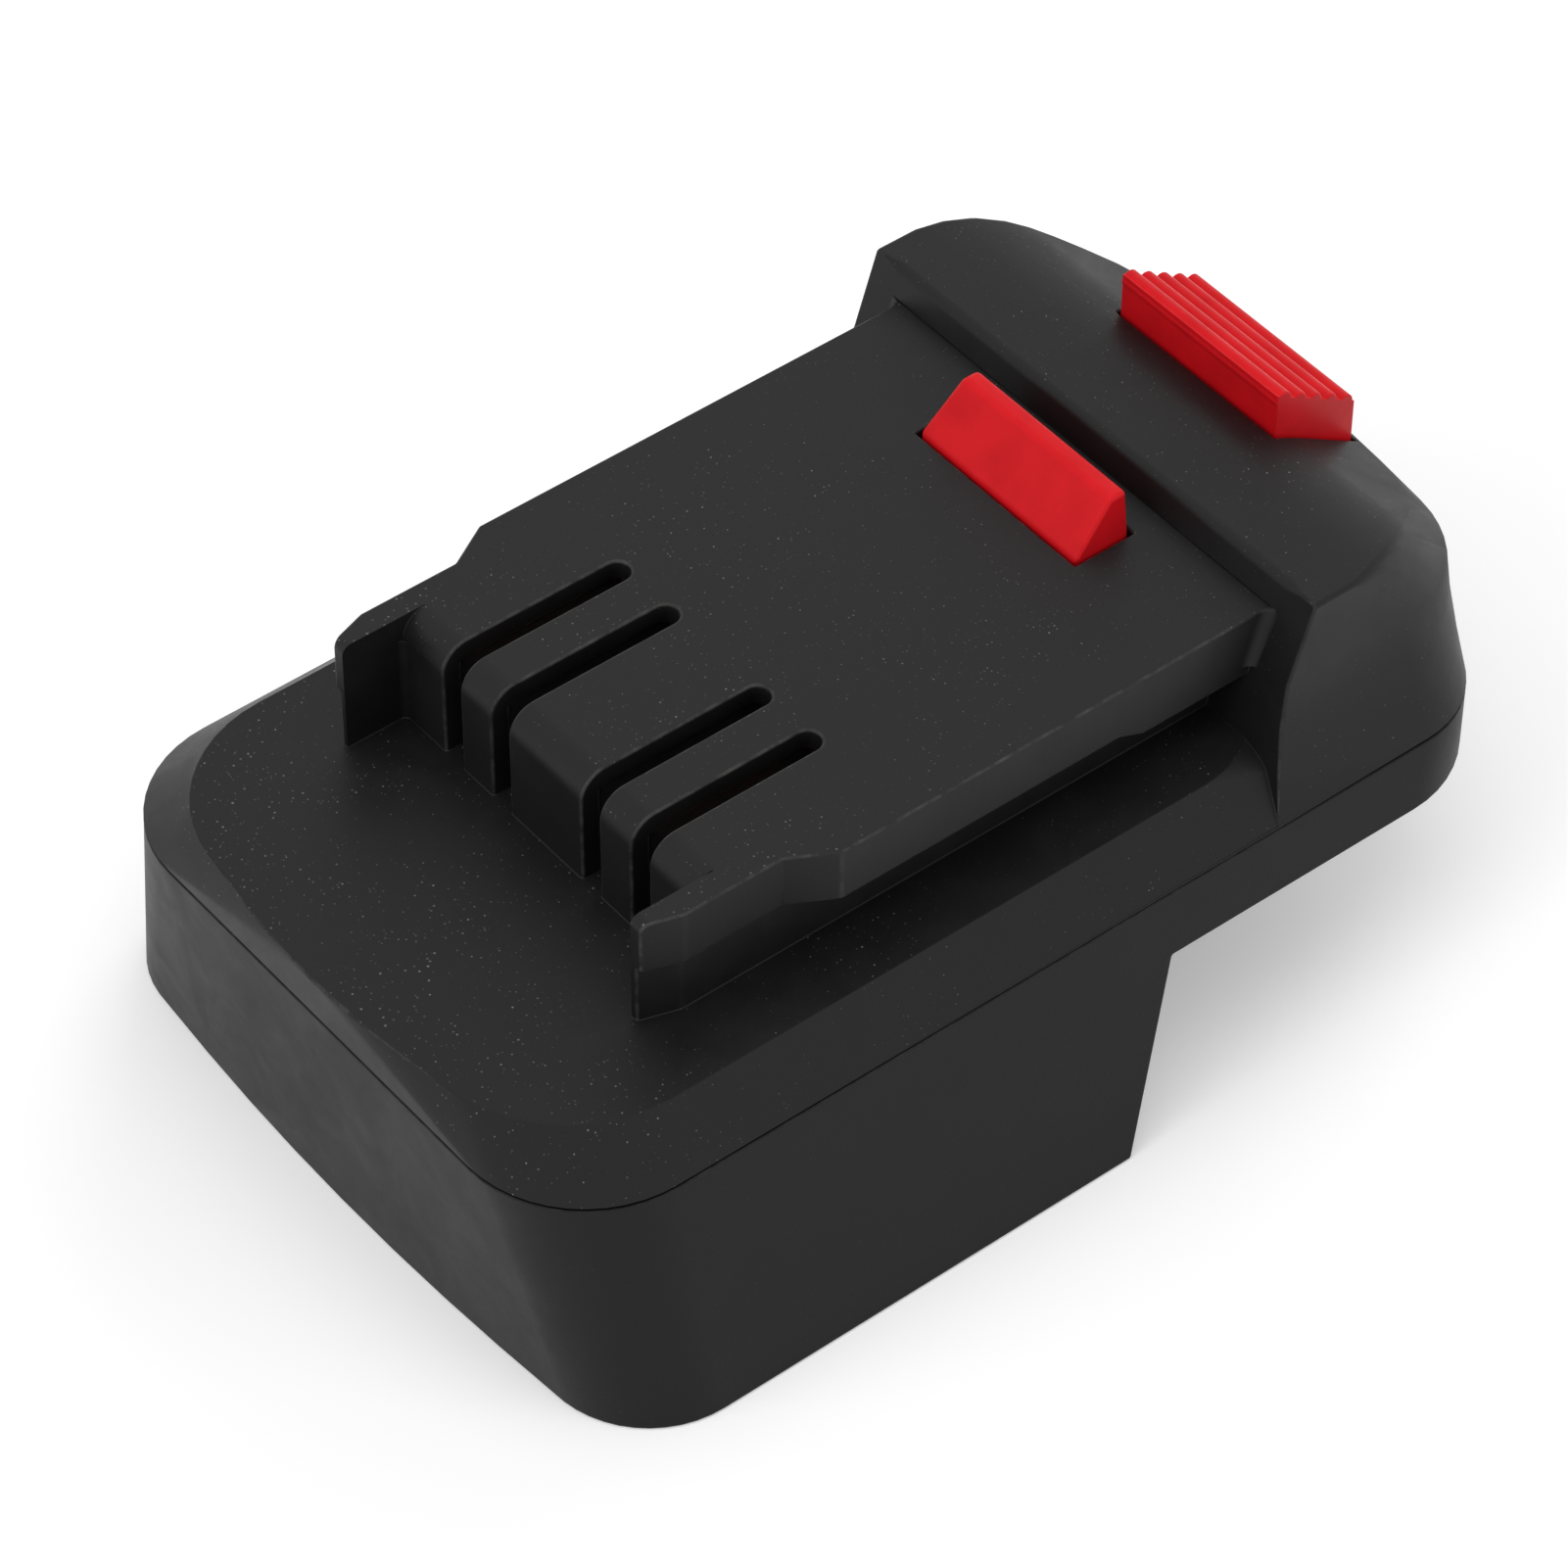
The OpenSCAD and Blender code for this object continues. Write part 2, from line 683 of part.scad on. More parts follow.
module wing() {
    lead_x = wing_x + wing_lead;
    difference() {
        union() {
            prism(shoulder_z - film, rail_z, [[pod_x, wing_in], [wing_x, wing_in],
                [wing_x, neck_hw - wing_taper], [lead_x, neck_hw], [pod_x, neck_hw]]);
            prism(rail_z - film, pod_z, [[pod_x + pod_edge_r, wing_in], [wing_x, wing_in],
                [wing_x, rail_nose_hw - wing_taper], [lead_x, rail_nose_hw],
                [pod_x + pod_edge_r, rail_nose_hw]]);
        }
        round_over(wing_x, pod_z, wing_edge_r, wing_in - over, rail_nose_hw + over);
    }
    prism(shoulder_z - film, pod_z - pod_edge_r, concat([[pod_x, wing_in]],
        [for (a = [90:-15:0]) [pod_x - wing_root_r + wing_root_r * cos(a),
            wing_in - wing_root_r + wing_root_r * sin(a)]]));
}

module slot_cut(y) {
    end_r = slot_width / 2;
    translate([pod_x - over, y - end_r, shoulder_z])
        cube([slot_length - end_r + over, slot_width, pod_height + over]);
    translate([slot_end_x - end_r, y, shoulder_z])
        cylinder(r = end_r, h = pod_height + over);
}

// Rooms inside the cover: under the shoulder, in the pod and in the head
module cover_rooms() {
    head_room_hw = head_hw - wall;
    head_room_x = head_front(head_z) + wall;
    low_room_z = button_floor_z - wall;
    hull() {
        level(cover_z - over, seam_outline(wall));
        level(shoulder_in_z - film, outline(shoulder_hw - wall, nose_x + wall, shoulder_bow,
            shoulder_corner - wall, head_x, 0, tail_corner - wall));
    }
    block(pod_x + wall, head_room_x + over, pod_room_hw, cover_z - 3 * over, pod_z - wall);
    prism(cover_z - 2 * over, low_room_z, outline(head_room_hw, head_front(shoulder_z) + wall, 0, wall,
        tail_x - wall - lap_wall, tail_bow, tail_corner - wall));
    prism(low_room_z - film, head_z - wall, outline(head_room_hw, head_room_x, 0, wall,
        button_x - wall, 0, wall));
    block(button_x - wall - over, button_x, button_width / 2 + latch_clearance,
        button_floor_z, pod_z - wall);
}

module top_cover() {
    color(black_plastic)
    difference() {
        union() {
            difference() {
                union() {
                    shoulder_solid();
                    intersection() {
                        head_solid();
                        difference() {
                            behind_head_front();
                            head_front_round();
                        }
                    }
                    pod_solid();
                }
                cover_rooms();
            }
            cover_bosses();
            cover_lap();
        }
        for (s = [-1, 1], span = [slot_span_inner, slot_span_outer])
            slot_cut(s * span / 2);
        block(wedge_x - latch_clearance, wedge_x + wedge_length + latch_clearance,
            wedge_width / 2 + latch_clearance, plate_z, pod_z + over);
        block(button_x - latch_clearance, button_x + button_length + latch_clearance,
            button_width / 2 + latch_clearance, button_floor_z, head_z + over);
        for (p = housing_screw_places)
            translate([p[0], p[1], boss_split_z - over])
                cylinder(r = screw_r + thread_clearance,
                    h = screw_seat_z + housing_screw_length + boss_gap - boss_split_z + over);
    }
}

// Bosses for the housing screws, and ribs that guide the latch plate
module cover_bosses() {
    guide_y = latch_plate_width / 2 + latch_clearance;
    for (p = housing_screw_places) {
        top = p[0] < 0 ? shoulder_in_z : head_z - wall;
        translate([p[0], p[1], boss_split_z + boss_gap])
            cylinder(r = boss_r, h = top - boss_split_z - boss_gap + film);
    }
    both_sides()
        translate([wedge_x, guide_y, plate_z - latch_travel])
            cube([wedge_length, pod_room_hw - guide_y + film, latch_plate + latch_travel + wall]);
}

// Lip that drops into the lower housing
module cover_lap() {
    lap_clearance = holder_clearance;
    difference() {
        prism(rim_z - lap_height, cover_z + wall, seam_outline(wall + lap_clearance));
        prism(rim_z - lap_height - over, cover_z + wall + over,
            seam_outline(wall + lap_clearance + lap_wall));
    }
}

module lower_housing() {
    color(black_plastic)
    difference() {
        union() {
            difference() {
                hull() {
                    level(0, outline(base_hw, nose_x + base_setback, base_bow, base_corner,
                        tail_x - base_tail_setback, tail_bow, base_tail_corner));
                    level(rim_z - film, seam_outline(0));
                }
                prism(ceiling_z, rim_z + over, seam_outline(wall));
                across(base_hw + over, [[skirt_x, bay_height], [tail_x + over, bay_height],
                    [tail_x + over, -over], [skirt_x - skirt_rake, -over], [skirt_x - skirt_rake, 0]]);
                bay();
            }
            housing_bosses();
        }
        housing_holes();
    }
}

// Room for the pack: wide above the lips, open behind and below
module bay() {
    function bay_outline(z) = outline(skirt_hw(z) - wall, bay_x, 0, bay_corner, tail_x + 2 * over, 0, over);
    hull() {
        level(lip_height, bay_outline(lip_height));
        level(bay_height - film, bay_outline(bay_height));
    }
    prism(-over, lip_height + film,
        outline(mouth_width / 2, bay_x, 0, bay_corner, tail_x + 2 * over, 0, over));
    block(catch_x, catch_x + catch_length, catch_width / 2, bay_height - over, bay_height + catch_depth);
}

// Bosses, posts and spring pins that stand on the ceiling
module housing_bosses() {
    for (p = housing_screw_places)
        translate([p[0], p[1], bay_height])
            cylinder(r = screw_head_r + screw_clearance + boss_wall / 2, h = boss_split_z - bay_height);
    for (p = holder_screw_places)
        translate([p[0], p[1], ceiling_z - film])
            cylinder(r = boss_r, h = holder_post + film);
    for (s = [-1, 1])
        translate([spring_x, s * spring_span / 2, ceiling_z - film])
            cylinder(r = spring_d / 2 - spring_wire - screw_clearance, h = spring_pin_height);
}

module housing_holes() {
    for (p = housing_screw_places)
        translate([p[0], p[1], 0]) {
            translate([0, 0, bay_height - over])
                cylinder(r = screw_head_r + screw_clearance, h = screw_seat_z - bay_height + over);
            translate([0, 0, bay_height])
                cylinder(r = screw_r + screw_clearance, h = boss_split_z - bay_height + over);
        }
    for (p = holder_screw_places)
        translate([p[0], p[1], holder_screw_seat_z - small_screw_length - boss_gap])
            cylinder(r = screw_r + thread_clearance, h = small_screw_length);
    for (p = term_screw_places)
        translate([p[0], p[1], bay_height - over])
            cylinder(r = screw_r + thread_clearance, h = ceiling + 2 * over);
    block(term_x - holder_clearance, term_end_x + holder_clearance, term_hw + holder_clearance,
        bay_height - over, ceiling_z + over);
}

// One red moulding: wedge and ribbed button on a common plate
module release_latch() {
    button_end = button_x + button_length;
    button_top = head_z + button_rise;
    plate_top = plate_z + latch_plate;
    ridge_x = wedge_x + wedge_length - wedge_ridge;
    color(red_plastic)
    union() {
        intersection() {
            across(wedge_width / 2, [[wedge_x, plate_z], [wedge_x, pod_z], [ridge_x, pod_z + wedge_height],
                [wedge_x + wedge_length, pod_z + wedge_height], [wedge_x + wedge_length, plate_z]]);
            wedge_sides();
        }
        block(wedge_x - wedge_ridge, button_end, button_width / 2, plate_z, plate_top);
        block(wedge_x - wedge_ridge, button_x - wall - 2 * latch_clearance, latch_plate_width / 2,
            plate_z, plate_top);
        across(button_width / 2, [[button_x, plate_z - button_skirt], [button_x, button_top],
            [button_end, button_top - button_drop], [button_end, plate_z - button_skirt]]);
        button_ribs();
        for (s = [-1, 1])
            translate([spring_x, s * spring_span / 2, plate_z - spring_pin_height])
                cylinder(r = spring_d / 2 - spring_wire - screw_clearance, h = spring_pin_height + film);
    }
}

// Slightly leaning ends of the wedge, drawn in Y and Z
module wedge_sides() {
    foot = wedge_width / 2;
    ridge = foot - wedge_draft;
    translate([wedge_x - over, 0, 0])
        rotate([90, 0, 90])
            linear_extrude(wedge_length + 2 * over)
                polygon([[-foot, plate_z], [foot, plate_z], [foot, pod_z], [ridge, pod_z + wedge_height],
                    [-ridge, pod_z + wedge_height], [-foot, pod_z]]);
}

// Round ribs across the sloped face of the button
module button_ribs() {
    slope = atan2(button_drop, button_length);
    sunk = rib_r - rib_height;
    for (i = [0:rib_count - 1]) {
        t = (i + 0.5) / rib_count;
        translate([button_x + button_length * t - sunk * sin(slope), -button_width / 2,
            head_z + button_rise - button_drop * t - sunk * cos(slope)])
            rotate([-90, 0, 0])
                cylinder(r = rib_r, h = button_width);
    }
}

// Coil spring between the ceiling and the latch plate
module latch_spring(side) {
    coil_r = (spring_d - spring_wire) / 2;
    rise = plate_z - ceiling_z - spring_wire;
    steps = 12 * spring_turns;
    color(steel)
    translate([spring_x, side * spring_span / 2, ceiling_z + spring_wire / 2])
        tube([for (i = [0:steps])
            let (a = 360 * spring_turns * i / steps)
            [coil_r * cos(a), coil_r * sin(a), rise * i / steps]], spring_wire / 2, 6);
}

module latch_spring_left() {
    latch_spring(1);
}

module latch_spring_right() {
    latch_spring(-1);
}

// Pockets for the four clips are open at the front and on top
module contact_holder() {
    color(dark_insert)
    difference() {
        block(holder_x, holder_x + holder_length, holder_hw, holder_z, holder_top_z);
        for (s = [-1, 1], span = [slot_span_inner, slot_span_outer])
            translate([holder_x - over, s * span / 2 - clip_pocket / 2, pocket_floor_z])
                cube([clip_back_x - holder_x + over + clip_pocket / 2, clip_pocket,
                    holder_top_z - pocket_floor_z + over]);
        for (s = [-1, 1], span = [slot_span_inner, slot_span_outer])
            translate([clip_back_x - over, s * span / 2 - clip_tail_width / 2 - screw_clearance,
                holder_z - over])
                cube([2 * over, clip_tail_width + 2 * screw_clearance, pocket_floor_z - holder_z + 2 * over]);
        for (p = holder_screw_places)
            translate([p[0], p[1], holder_z - over]) {
                cylinder(r = screw_r + screw_clearance, h = holder_top_z);
                translate([0, 0, holder_screw_seat_z - holder_z + over])
                    cylinder(r = screw_head_r + screw_clearance, h = holder_top_z);
            }
    }
}

// Forked clip seen from above: two leaves that close to a nip and open again at the mouth
function leaf(sheet, half_root) = [
    [0, half_root], [-clip_length * 0.25, half_root], [-clip_length * 0.8, clip_nip / 2],
    [-clip_length, half_root * 0.75], [-clip_length, half_root * 0.75 + sheet],
    [-clip_length * 0.8, clip_nip / 2 + sheet], [-clip_length * 0.25, half_root + sheet],
    [0, half_root + sheet]];

module clip(y, sheet, height) {
    half_root = slot_width / 2 - sheet;
    color(copper)
    translate([clip_back_x, y, 0]) {
        translate([0, 0, pocket_floor_z])
            linear_extrude(height) {
                polygon(leaf(sheet, half_root));
                mirror([0, 1])
                    polygon(leaf(sheet, half_root));
                translate([-film, -half_root - sheet])
                    square([sheet + film, 2 * (half_root + sheet)]);
            }
        translate([0, -clip_tail_width / 2, clip_tail_z])
            cube([sheet, clip_tail_width, pocket_floor_z - clip_tail_z + film]);
    }
}

module clip_positive() {
    clip(slot_span_outer / 2, power_clip_sheet, power_clip_height);
}

module clip_negative() {
    clip(-slot_span_outer / 2, power_clip_sheet, power_clip_height);
}

module clip_signal_left() {
    clip(slot_span_inner / 2, signal_clip_sheet, signal_clip_height);
}

module clip_signal_right() {
    clip(-slot_span_inner / 2, signal_clip_sheet, signal_clip_height);
}

module contact_holder_screws() {
    color(steel)
    for (p = holder_screw_places)
        translate([p[0], p[1], holder_screw_seat_z])
            mirror([0, 0, 1])
                screw(small_screw_length);
}

// Side view of a blade with its solder tail; grow widens it for its slot in the block
module blade_profile(reach, grow) {
    tip = blade_height * 0.2;
    end = term_end_x + reach;
    polygon([[blade_tail_x - grow, blade_z - grow], [end - tip, blade_z - grow], [end, blade_z + tip],
        [end, blade_z + blade_height - tip], [end - tip, blade_z + blade_height + grow],
        [blade_tail_x + blade_tail + grow, blade_z + blade_height + grow],
        [blade_tail_x + blade_tail + grow, ceiling_z + blade_tail_rise],
        [blade_tail_x - grow, ceiling_z + blade_tail_rise]]);
}

module blade(y, reach, sheet, grow = 0) {
    translate([0, y + sheet / 2 + grow, 0])
        rotate([90, 0, 0])
            linear_extrude(sheet + 2 * grow)
                blade_profile(reach, grow);
}

module blades_cut() {
    for (s = [-1, 1]) {
        blade(s * blade_span_power / 2, power_blade_reach, power_blade_sheet, blade_clearance);
        blade(s * blade_span_signal / 2, signal_blade_reach, signal_blade_sheet, blade_clearance);
    }
}

module terminal_block() {
    color(dark_insert)
    difference() {
        union() {
            block(term_x, term_end_x, term_hw, bay_height - term_drop, ceiling_z + term_rim_height);
            block(term_x - term_rim, term_end_x + term_rim, term_hw + term_rim, ceiling_z,
                ceiling_z + term_rim_height);
            for (p = term_screw_places)
                translate([p[0], p[1], ceiling_z])
                    cylinder(r = term_ear_r, h = term_rim_height);
        }
        blades_cut();
        for (p = term_screw_places)
            translate([p[0], p[1], ceiling_z - over])
                cylinder(r = screw_r + screw_clearance, h = term_rim_height + 2 * over);
    }
}

module blade_positive() {
    color(copper)
    blade(blade_span_power / 2, power_blade_reach, power_blade_sheet);
}

module blade_negative() {
    color(copper)
    blade(-blade_span_power / 2, power_blade_reach, power_blade_sheet);
}

module blade_signal_left() {
    color(copper)
    blade(blade_span_signal / 2, signal_blade_reach, signal_blade_sheet);
}

module blade_signal_right() {
    color(copper)
    blade(-blade_span_signal / 2, signal_blade_reach, signal_blade_sheet);
}

module terminal_block_screws() {
    color(steel)
    for (p = term_screw_places)
        translate([p[0], p[1], ceiling_z + term_rim_height])
            mirror([0, 0, 1])
                screw(ceiling + term_rim_height - boss_gap);
}

// Lead from a blade's tail back to the tail of a clip, with a little slack to one side
module lead(blade_y, clip_y, d, slack) {
    start_x = blade_tail_x + blade_tail + wire_gap;
    end_x = clip_back_x - wire_gap;
    run = end_x - start_x;
    tube(route([
        [start_x, blade_y, wire_front_z], [start_x + 0.12 * run, blade_y, wire_front_z],
        [start_x + 0.4 * run, blade_y + slack, (wire_front_z + wire_rear_z) / 2],
        [start_x + 0.7 * run, clip_y + slack, wire_rear_z],
        [end_x - 0.1 * run, clip_y, wire_rear_z], [end_x, clip_y, wire_rear_z]], 4), d / 2, 8);
}

module wire_positive() {
    color("#b3202a")
    lead(blade_span_power / 2, slot_span_outer / 2, power_wire_d, power_wire_slack);
}

module wire_negative() {
    color("#18181a")
    lead(-blade_span_power / 2, -slot_span_outer / 2, power_wire_d, -power_wire_slack);
}

module wire_signal_left() {
    color("#d8c02a")
    lead(blade_span_signal / 2, slot_span_inner / 2, signal_wire_d, signal_wire_slack);
}

module wire_signal_right() {
    color("#d6d6d2")
    lead(-blade_span_signal / 2, -slot_span_inner / 2, signal_wire_d, -signal_wire_slack);
}

module housing_screws() {
    color(steel)
    for (p = housing_screw_places)
        translate([p[0], p[1], screw_seat_z])
            screw(housing_screw_length);
}

top_cover();
lower_housing();
release_latch();
latch_spring_left();
latch_spring_right();
contact_holder();
clip_positive();
clip_negative();
clip_signal_left();
clip_signal_right();
contact_holder_screws();
terminal_block();
blade_positive();
blade_negative();
blade_signal_left();
blade_signal_right();
terminal_block_screws();
wire_positive();
wire_negative();
wire_signal_left();
wire_signal_right();
housing_screws();
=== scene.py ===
import math

import bmesh
import bpy
from bpy.props import FloatProperty, FloatVectorProperty, IntProperty, PointerProperty
from mathutils import Matrix, Vector
from mathutils.bvhtree import BVHTree
from mathutils.kdtree import KDTree


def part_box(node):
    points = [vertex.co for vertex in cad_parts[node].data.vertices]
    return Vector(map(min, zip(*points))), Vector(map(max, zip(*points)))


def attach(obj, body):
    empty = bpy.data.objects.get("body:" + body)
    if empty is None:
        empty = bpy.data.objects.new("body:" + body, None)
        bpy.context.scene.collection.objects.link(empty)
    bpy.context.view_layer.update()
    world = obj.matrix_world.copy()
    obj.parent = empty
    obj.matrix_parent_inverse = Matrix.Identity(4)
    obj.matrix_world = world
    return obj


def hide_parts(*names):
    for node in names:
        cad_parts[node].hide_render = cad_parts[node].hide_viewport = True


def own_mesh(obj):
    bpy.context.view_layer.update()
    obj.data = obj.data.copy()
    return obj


bl_info = {
    "name": "Tool battery adapter",
    "version": (1, 0, 0),
    "blender": (4, 5, 0),
    "location": "3D View > Sidebar > Adapter",
    "description": "Dresses the packed adapter: shells, red latch, contacts, leads and screws",
    "category": "Object",
}

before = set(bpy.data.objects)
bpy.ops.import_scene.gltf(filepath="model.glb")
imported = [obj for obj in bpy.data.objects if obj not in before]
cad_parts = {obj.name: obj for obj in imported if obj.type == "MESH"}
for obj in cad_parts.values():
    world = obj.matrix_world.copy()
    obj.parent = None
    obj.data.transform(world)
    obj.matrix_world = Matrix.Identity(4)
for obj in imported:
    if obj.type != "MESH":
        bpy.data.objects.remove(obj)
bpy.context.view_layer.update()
MM = 0.001

# Camera of the photograph, in degrees, metres and millimetres of lens and sensor
VIEW_AZIMUTH, VIEW_ELEVATION, VIEW_ROLL = -38.736, 45.519, 0.242
VIEW_DISTANCE = 0.64393
VIEW_TARGET = Vector((-0.004308, 0.000218, 0.022626))
VIEW_LENS, VIEW_SENSOR = 152.166, 36

# White room: its level as light, its level as seen, and how far the paper is lifted to white
ROOM_LIGHT, ROOM_SEEN, PAPER_LIFT = 0.32, 1.0, 0.27

# Points this near are one point, edges this short are dropped, faces bent this little are one
WELD_GAP, WELD_EDGE, WELD_BEND = 0.015 * MM, 0.005 * MM, math.radians(0.6)
# A place is open if this many rays get out, from this many mm off its face and at least this steep
OPEN_RAYS, OPEN_LIFT, OPEN_SLANT = 2, 0.05, 0.1
# Bends below the first angle stay smooth; corners above the last that kept no round stay crisp
SMOOTH_BEND, CRISP_BEND = math.radians(17), math.radians(42)
# Edges that meet at more than the first angle run on into each other; the last counts as straight
RUNS_ON, STRAIGHT = math.radians(150), math.radians(178)
# A round takes up to this share of the face beside it, and is left off below the least radius
FACE_SHARE, LEAST_ROUND = 0.42, 0.03 * MM
# Passes that even out radii along a bend, and that take off rounds which run wild
EVEN_PASSES, STRAY_PASSES = 40, 6
# A point is stray if it lies off the faces by this share of the widest round; rounds that start
# within this many of the widest round from it are taken off
STRAY_SHARE, STRAY_AREA = 0.45, 2
# Worn crest and painted highlight set in where a round cuts this deep into its edge, and are full
# after this much more, in mm
WEAR_AND_HIGHLIGHT_FROM, WEAR_AND_HIGHLIGHT_SPAN = 0.018, 0.02

# Directions in which a point of a shell looks for open air
RAYS = [Vector((x, y, z)).normalized()
        for x in (-1, 0, 1) for y in (-1, 0, 1) for z in (-1, 0, 1) if x or y or z]


def linear(text):
    """Linear red, green, blue and alpha of an sRGB hex colour."""
    parts = [int(text[i:i + 2], 16) / 255 for i in (1, 3, 5)]
    return tuple(p / 12.92 if p <= 0.04045 else ((p + 0.055) / 1.055) ** 2.4
                 for p in parts) + (1.0,)


def colour(name, text, description):
    """A colour that a user may change."""
    return FloatVectorProperty(name=name, description=description, subtype="COLOR", size=4,
                               min=0, max=1, default=linear(text))


def length(name, millimetres, description):
    """A size that a user may change."""
    return FloatProperty(name=name, description=description, unit="LENGTH", min=0,
                         default=millimetres * MM)


class AdapterSizes(bpy.types.PropertyGroup):
    """Radii and small sizes that the dressed pieces add to the solids"""

    shell_edge: length("Shell edges", 0.35, "Radius on the open edges of the two shells")
    slot_edge: length("Slot edges", 0.6, "Radius where the contact slots open to the front")
    wing_edge: length("Wing edges", 0.45, "Radius on the edges of the two wings")
    head_edge: length("Head corners", 0.8, "Radius on the upright front corners of the head")
    inner_edge: length("Inner corners", 0.12, "Radius in the corners where two walls meet")
    seam_edge: length("Seam edge", 0.2, "Radius on the housing's edge at the seam")
    latch_edge: length("Latch edges", 0.55, "Radius on the edges of the red latch")
    insert_edge: length("Insert edges", 0.25, "Radius on the edges of the inner mouldings")
    sheet_edge: length("Sheet edges", 0.1, "Radius on the stamped edges of clips and blades")
    thread_pitch: length("Thread pitch", 1.1, "Pitch of the self-tapping screws")
    thread_depth: length("Thread depth", 0.3, "Depth of the thread of the screws")
    wire_diameter: length("Spring wire", 0.7, "Diameter of the wire of the latch springs")
    spring_turns: IntProperty(name="Spring turns", description="Turns of a latch spring",
                              default=7, min=3)


class AdapterFinishes(bpy.types.PropertyGroup):
    """Colours and surface grades of the materials"""

    black: colour("Black moulding", "#151516", "Colour of the two black shells")
    red: colour("Red moulding", "#dd161f", "Colour of the release latch")
    insert: colour("Inner moulding", "#1c1c1e", "Colour of contact holder and terminal block")
    # This colour paints the specks and also the edge crests, as worn edges and as a painted
    # highlight
    dust_and_edge_highlight: colour("Dust", "#a9a7a3", "Colour of dust specks and rubbed edges on the shells")
    copper: colour("Contact copper", "#c47f4c", "Colour of the clips and blades")
    steel: colour("Bright steel", "#c3c5c8", "Colour of springs and screws")
    wire_red: colour("Positive lead", "#b3202a", "Insulation of the positive lead")
    wire_black: colour("Negative lead", "#18181a", "Insulation of the negative lead")
    wire_yellow: colour("First signal lead", "#d8c02a", "Insulation of the first signal lead")
    wire_white: colour("Second signal lead", "#d6d6d2", "Insulation of the second signal lead")
    floor: colour("Floor", "#f2f2f2", "Colour of the studio floor")
    black_gloss: FloatProperty(name="Black roughness", description="Roughness of the black shells",
                               default=0.46, min=0, max=1, subtype="FACTOR")
    red_gloss: FloatProperty(name="Red roughness", description="Roughness of the red latch",
                             default=0.38, min=0, max=1, subtype="FACTOR")


def add_node(tree, kind, inputs=(), **settings):
    """One node with its settings. Inputs are a dict, or a row for the first sockets; each is a
    value or the socket of another node."""
    made = tree.nodes.new(kind)
    for key, value in settings.items():
        setattr(made, key, value)
    for key, value in inputs.items() if isinstance(inputs, dict) else enumerate(inputs):
        if isinstance(value, bpy.types.NodeSocket):
            tree.links.new(value, made.inputs[key])
        else:
            made.inputs[key].default_value = value
    return made


def new_material(name):
    """An empty node material and its output."""
    made = bpy.data.materials.new(name)
    made.use_nodes = True
    made.node_tree.nodes.clear()
    return made, made.node_tree, add_node(made.node_tree, "ShaderNodeOutputMaterial")


def toned(base, share):
    """A colour taken lighter or darker by a share."""
    return tuple(min(1.0, part * share) for part in base[:3]) + (1.0,)


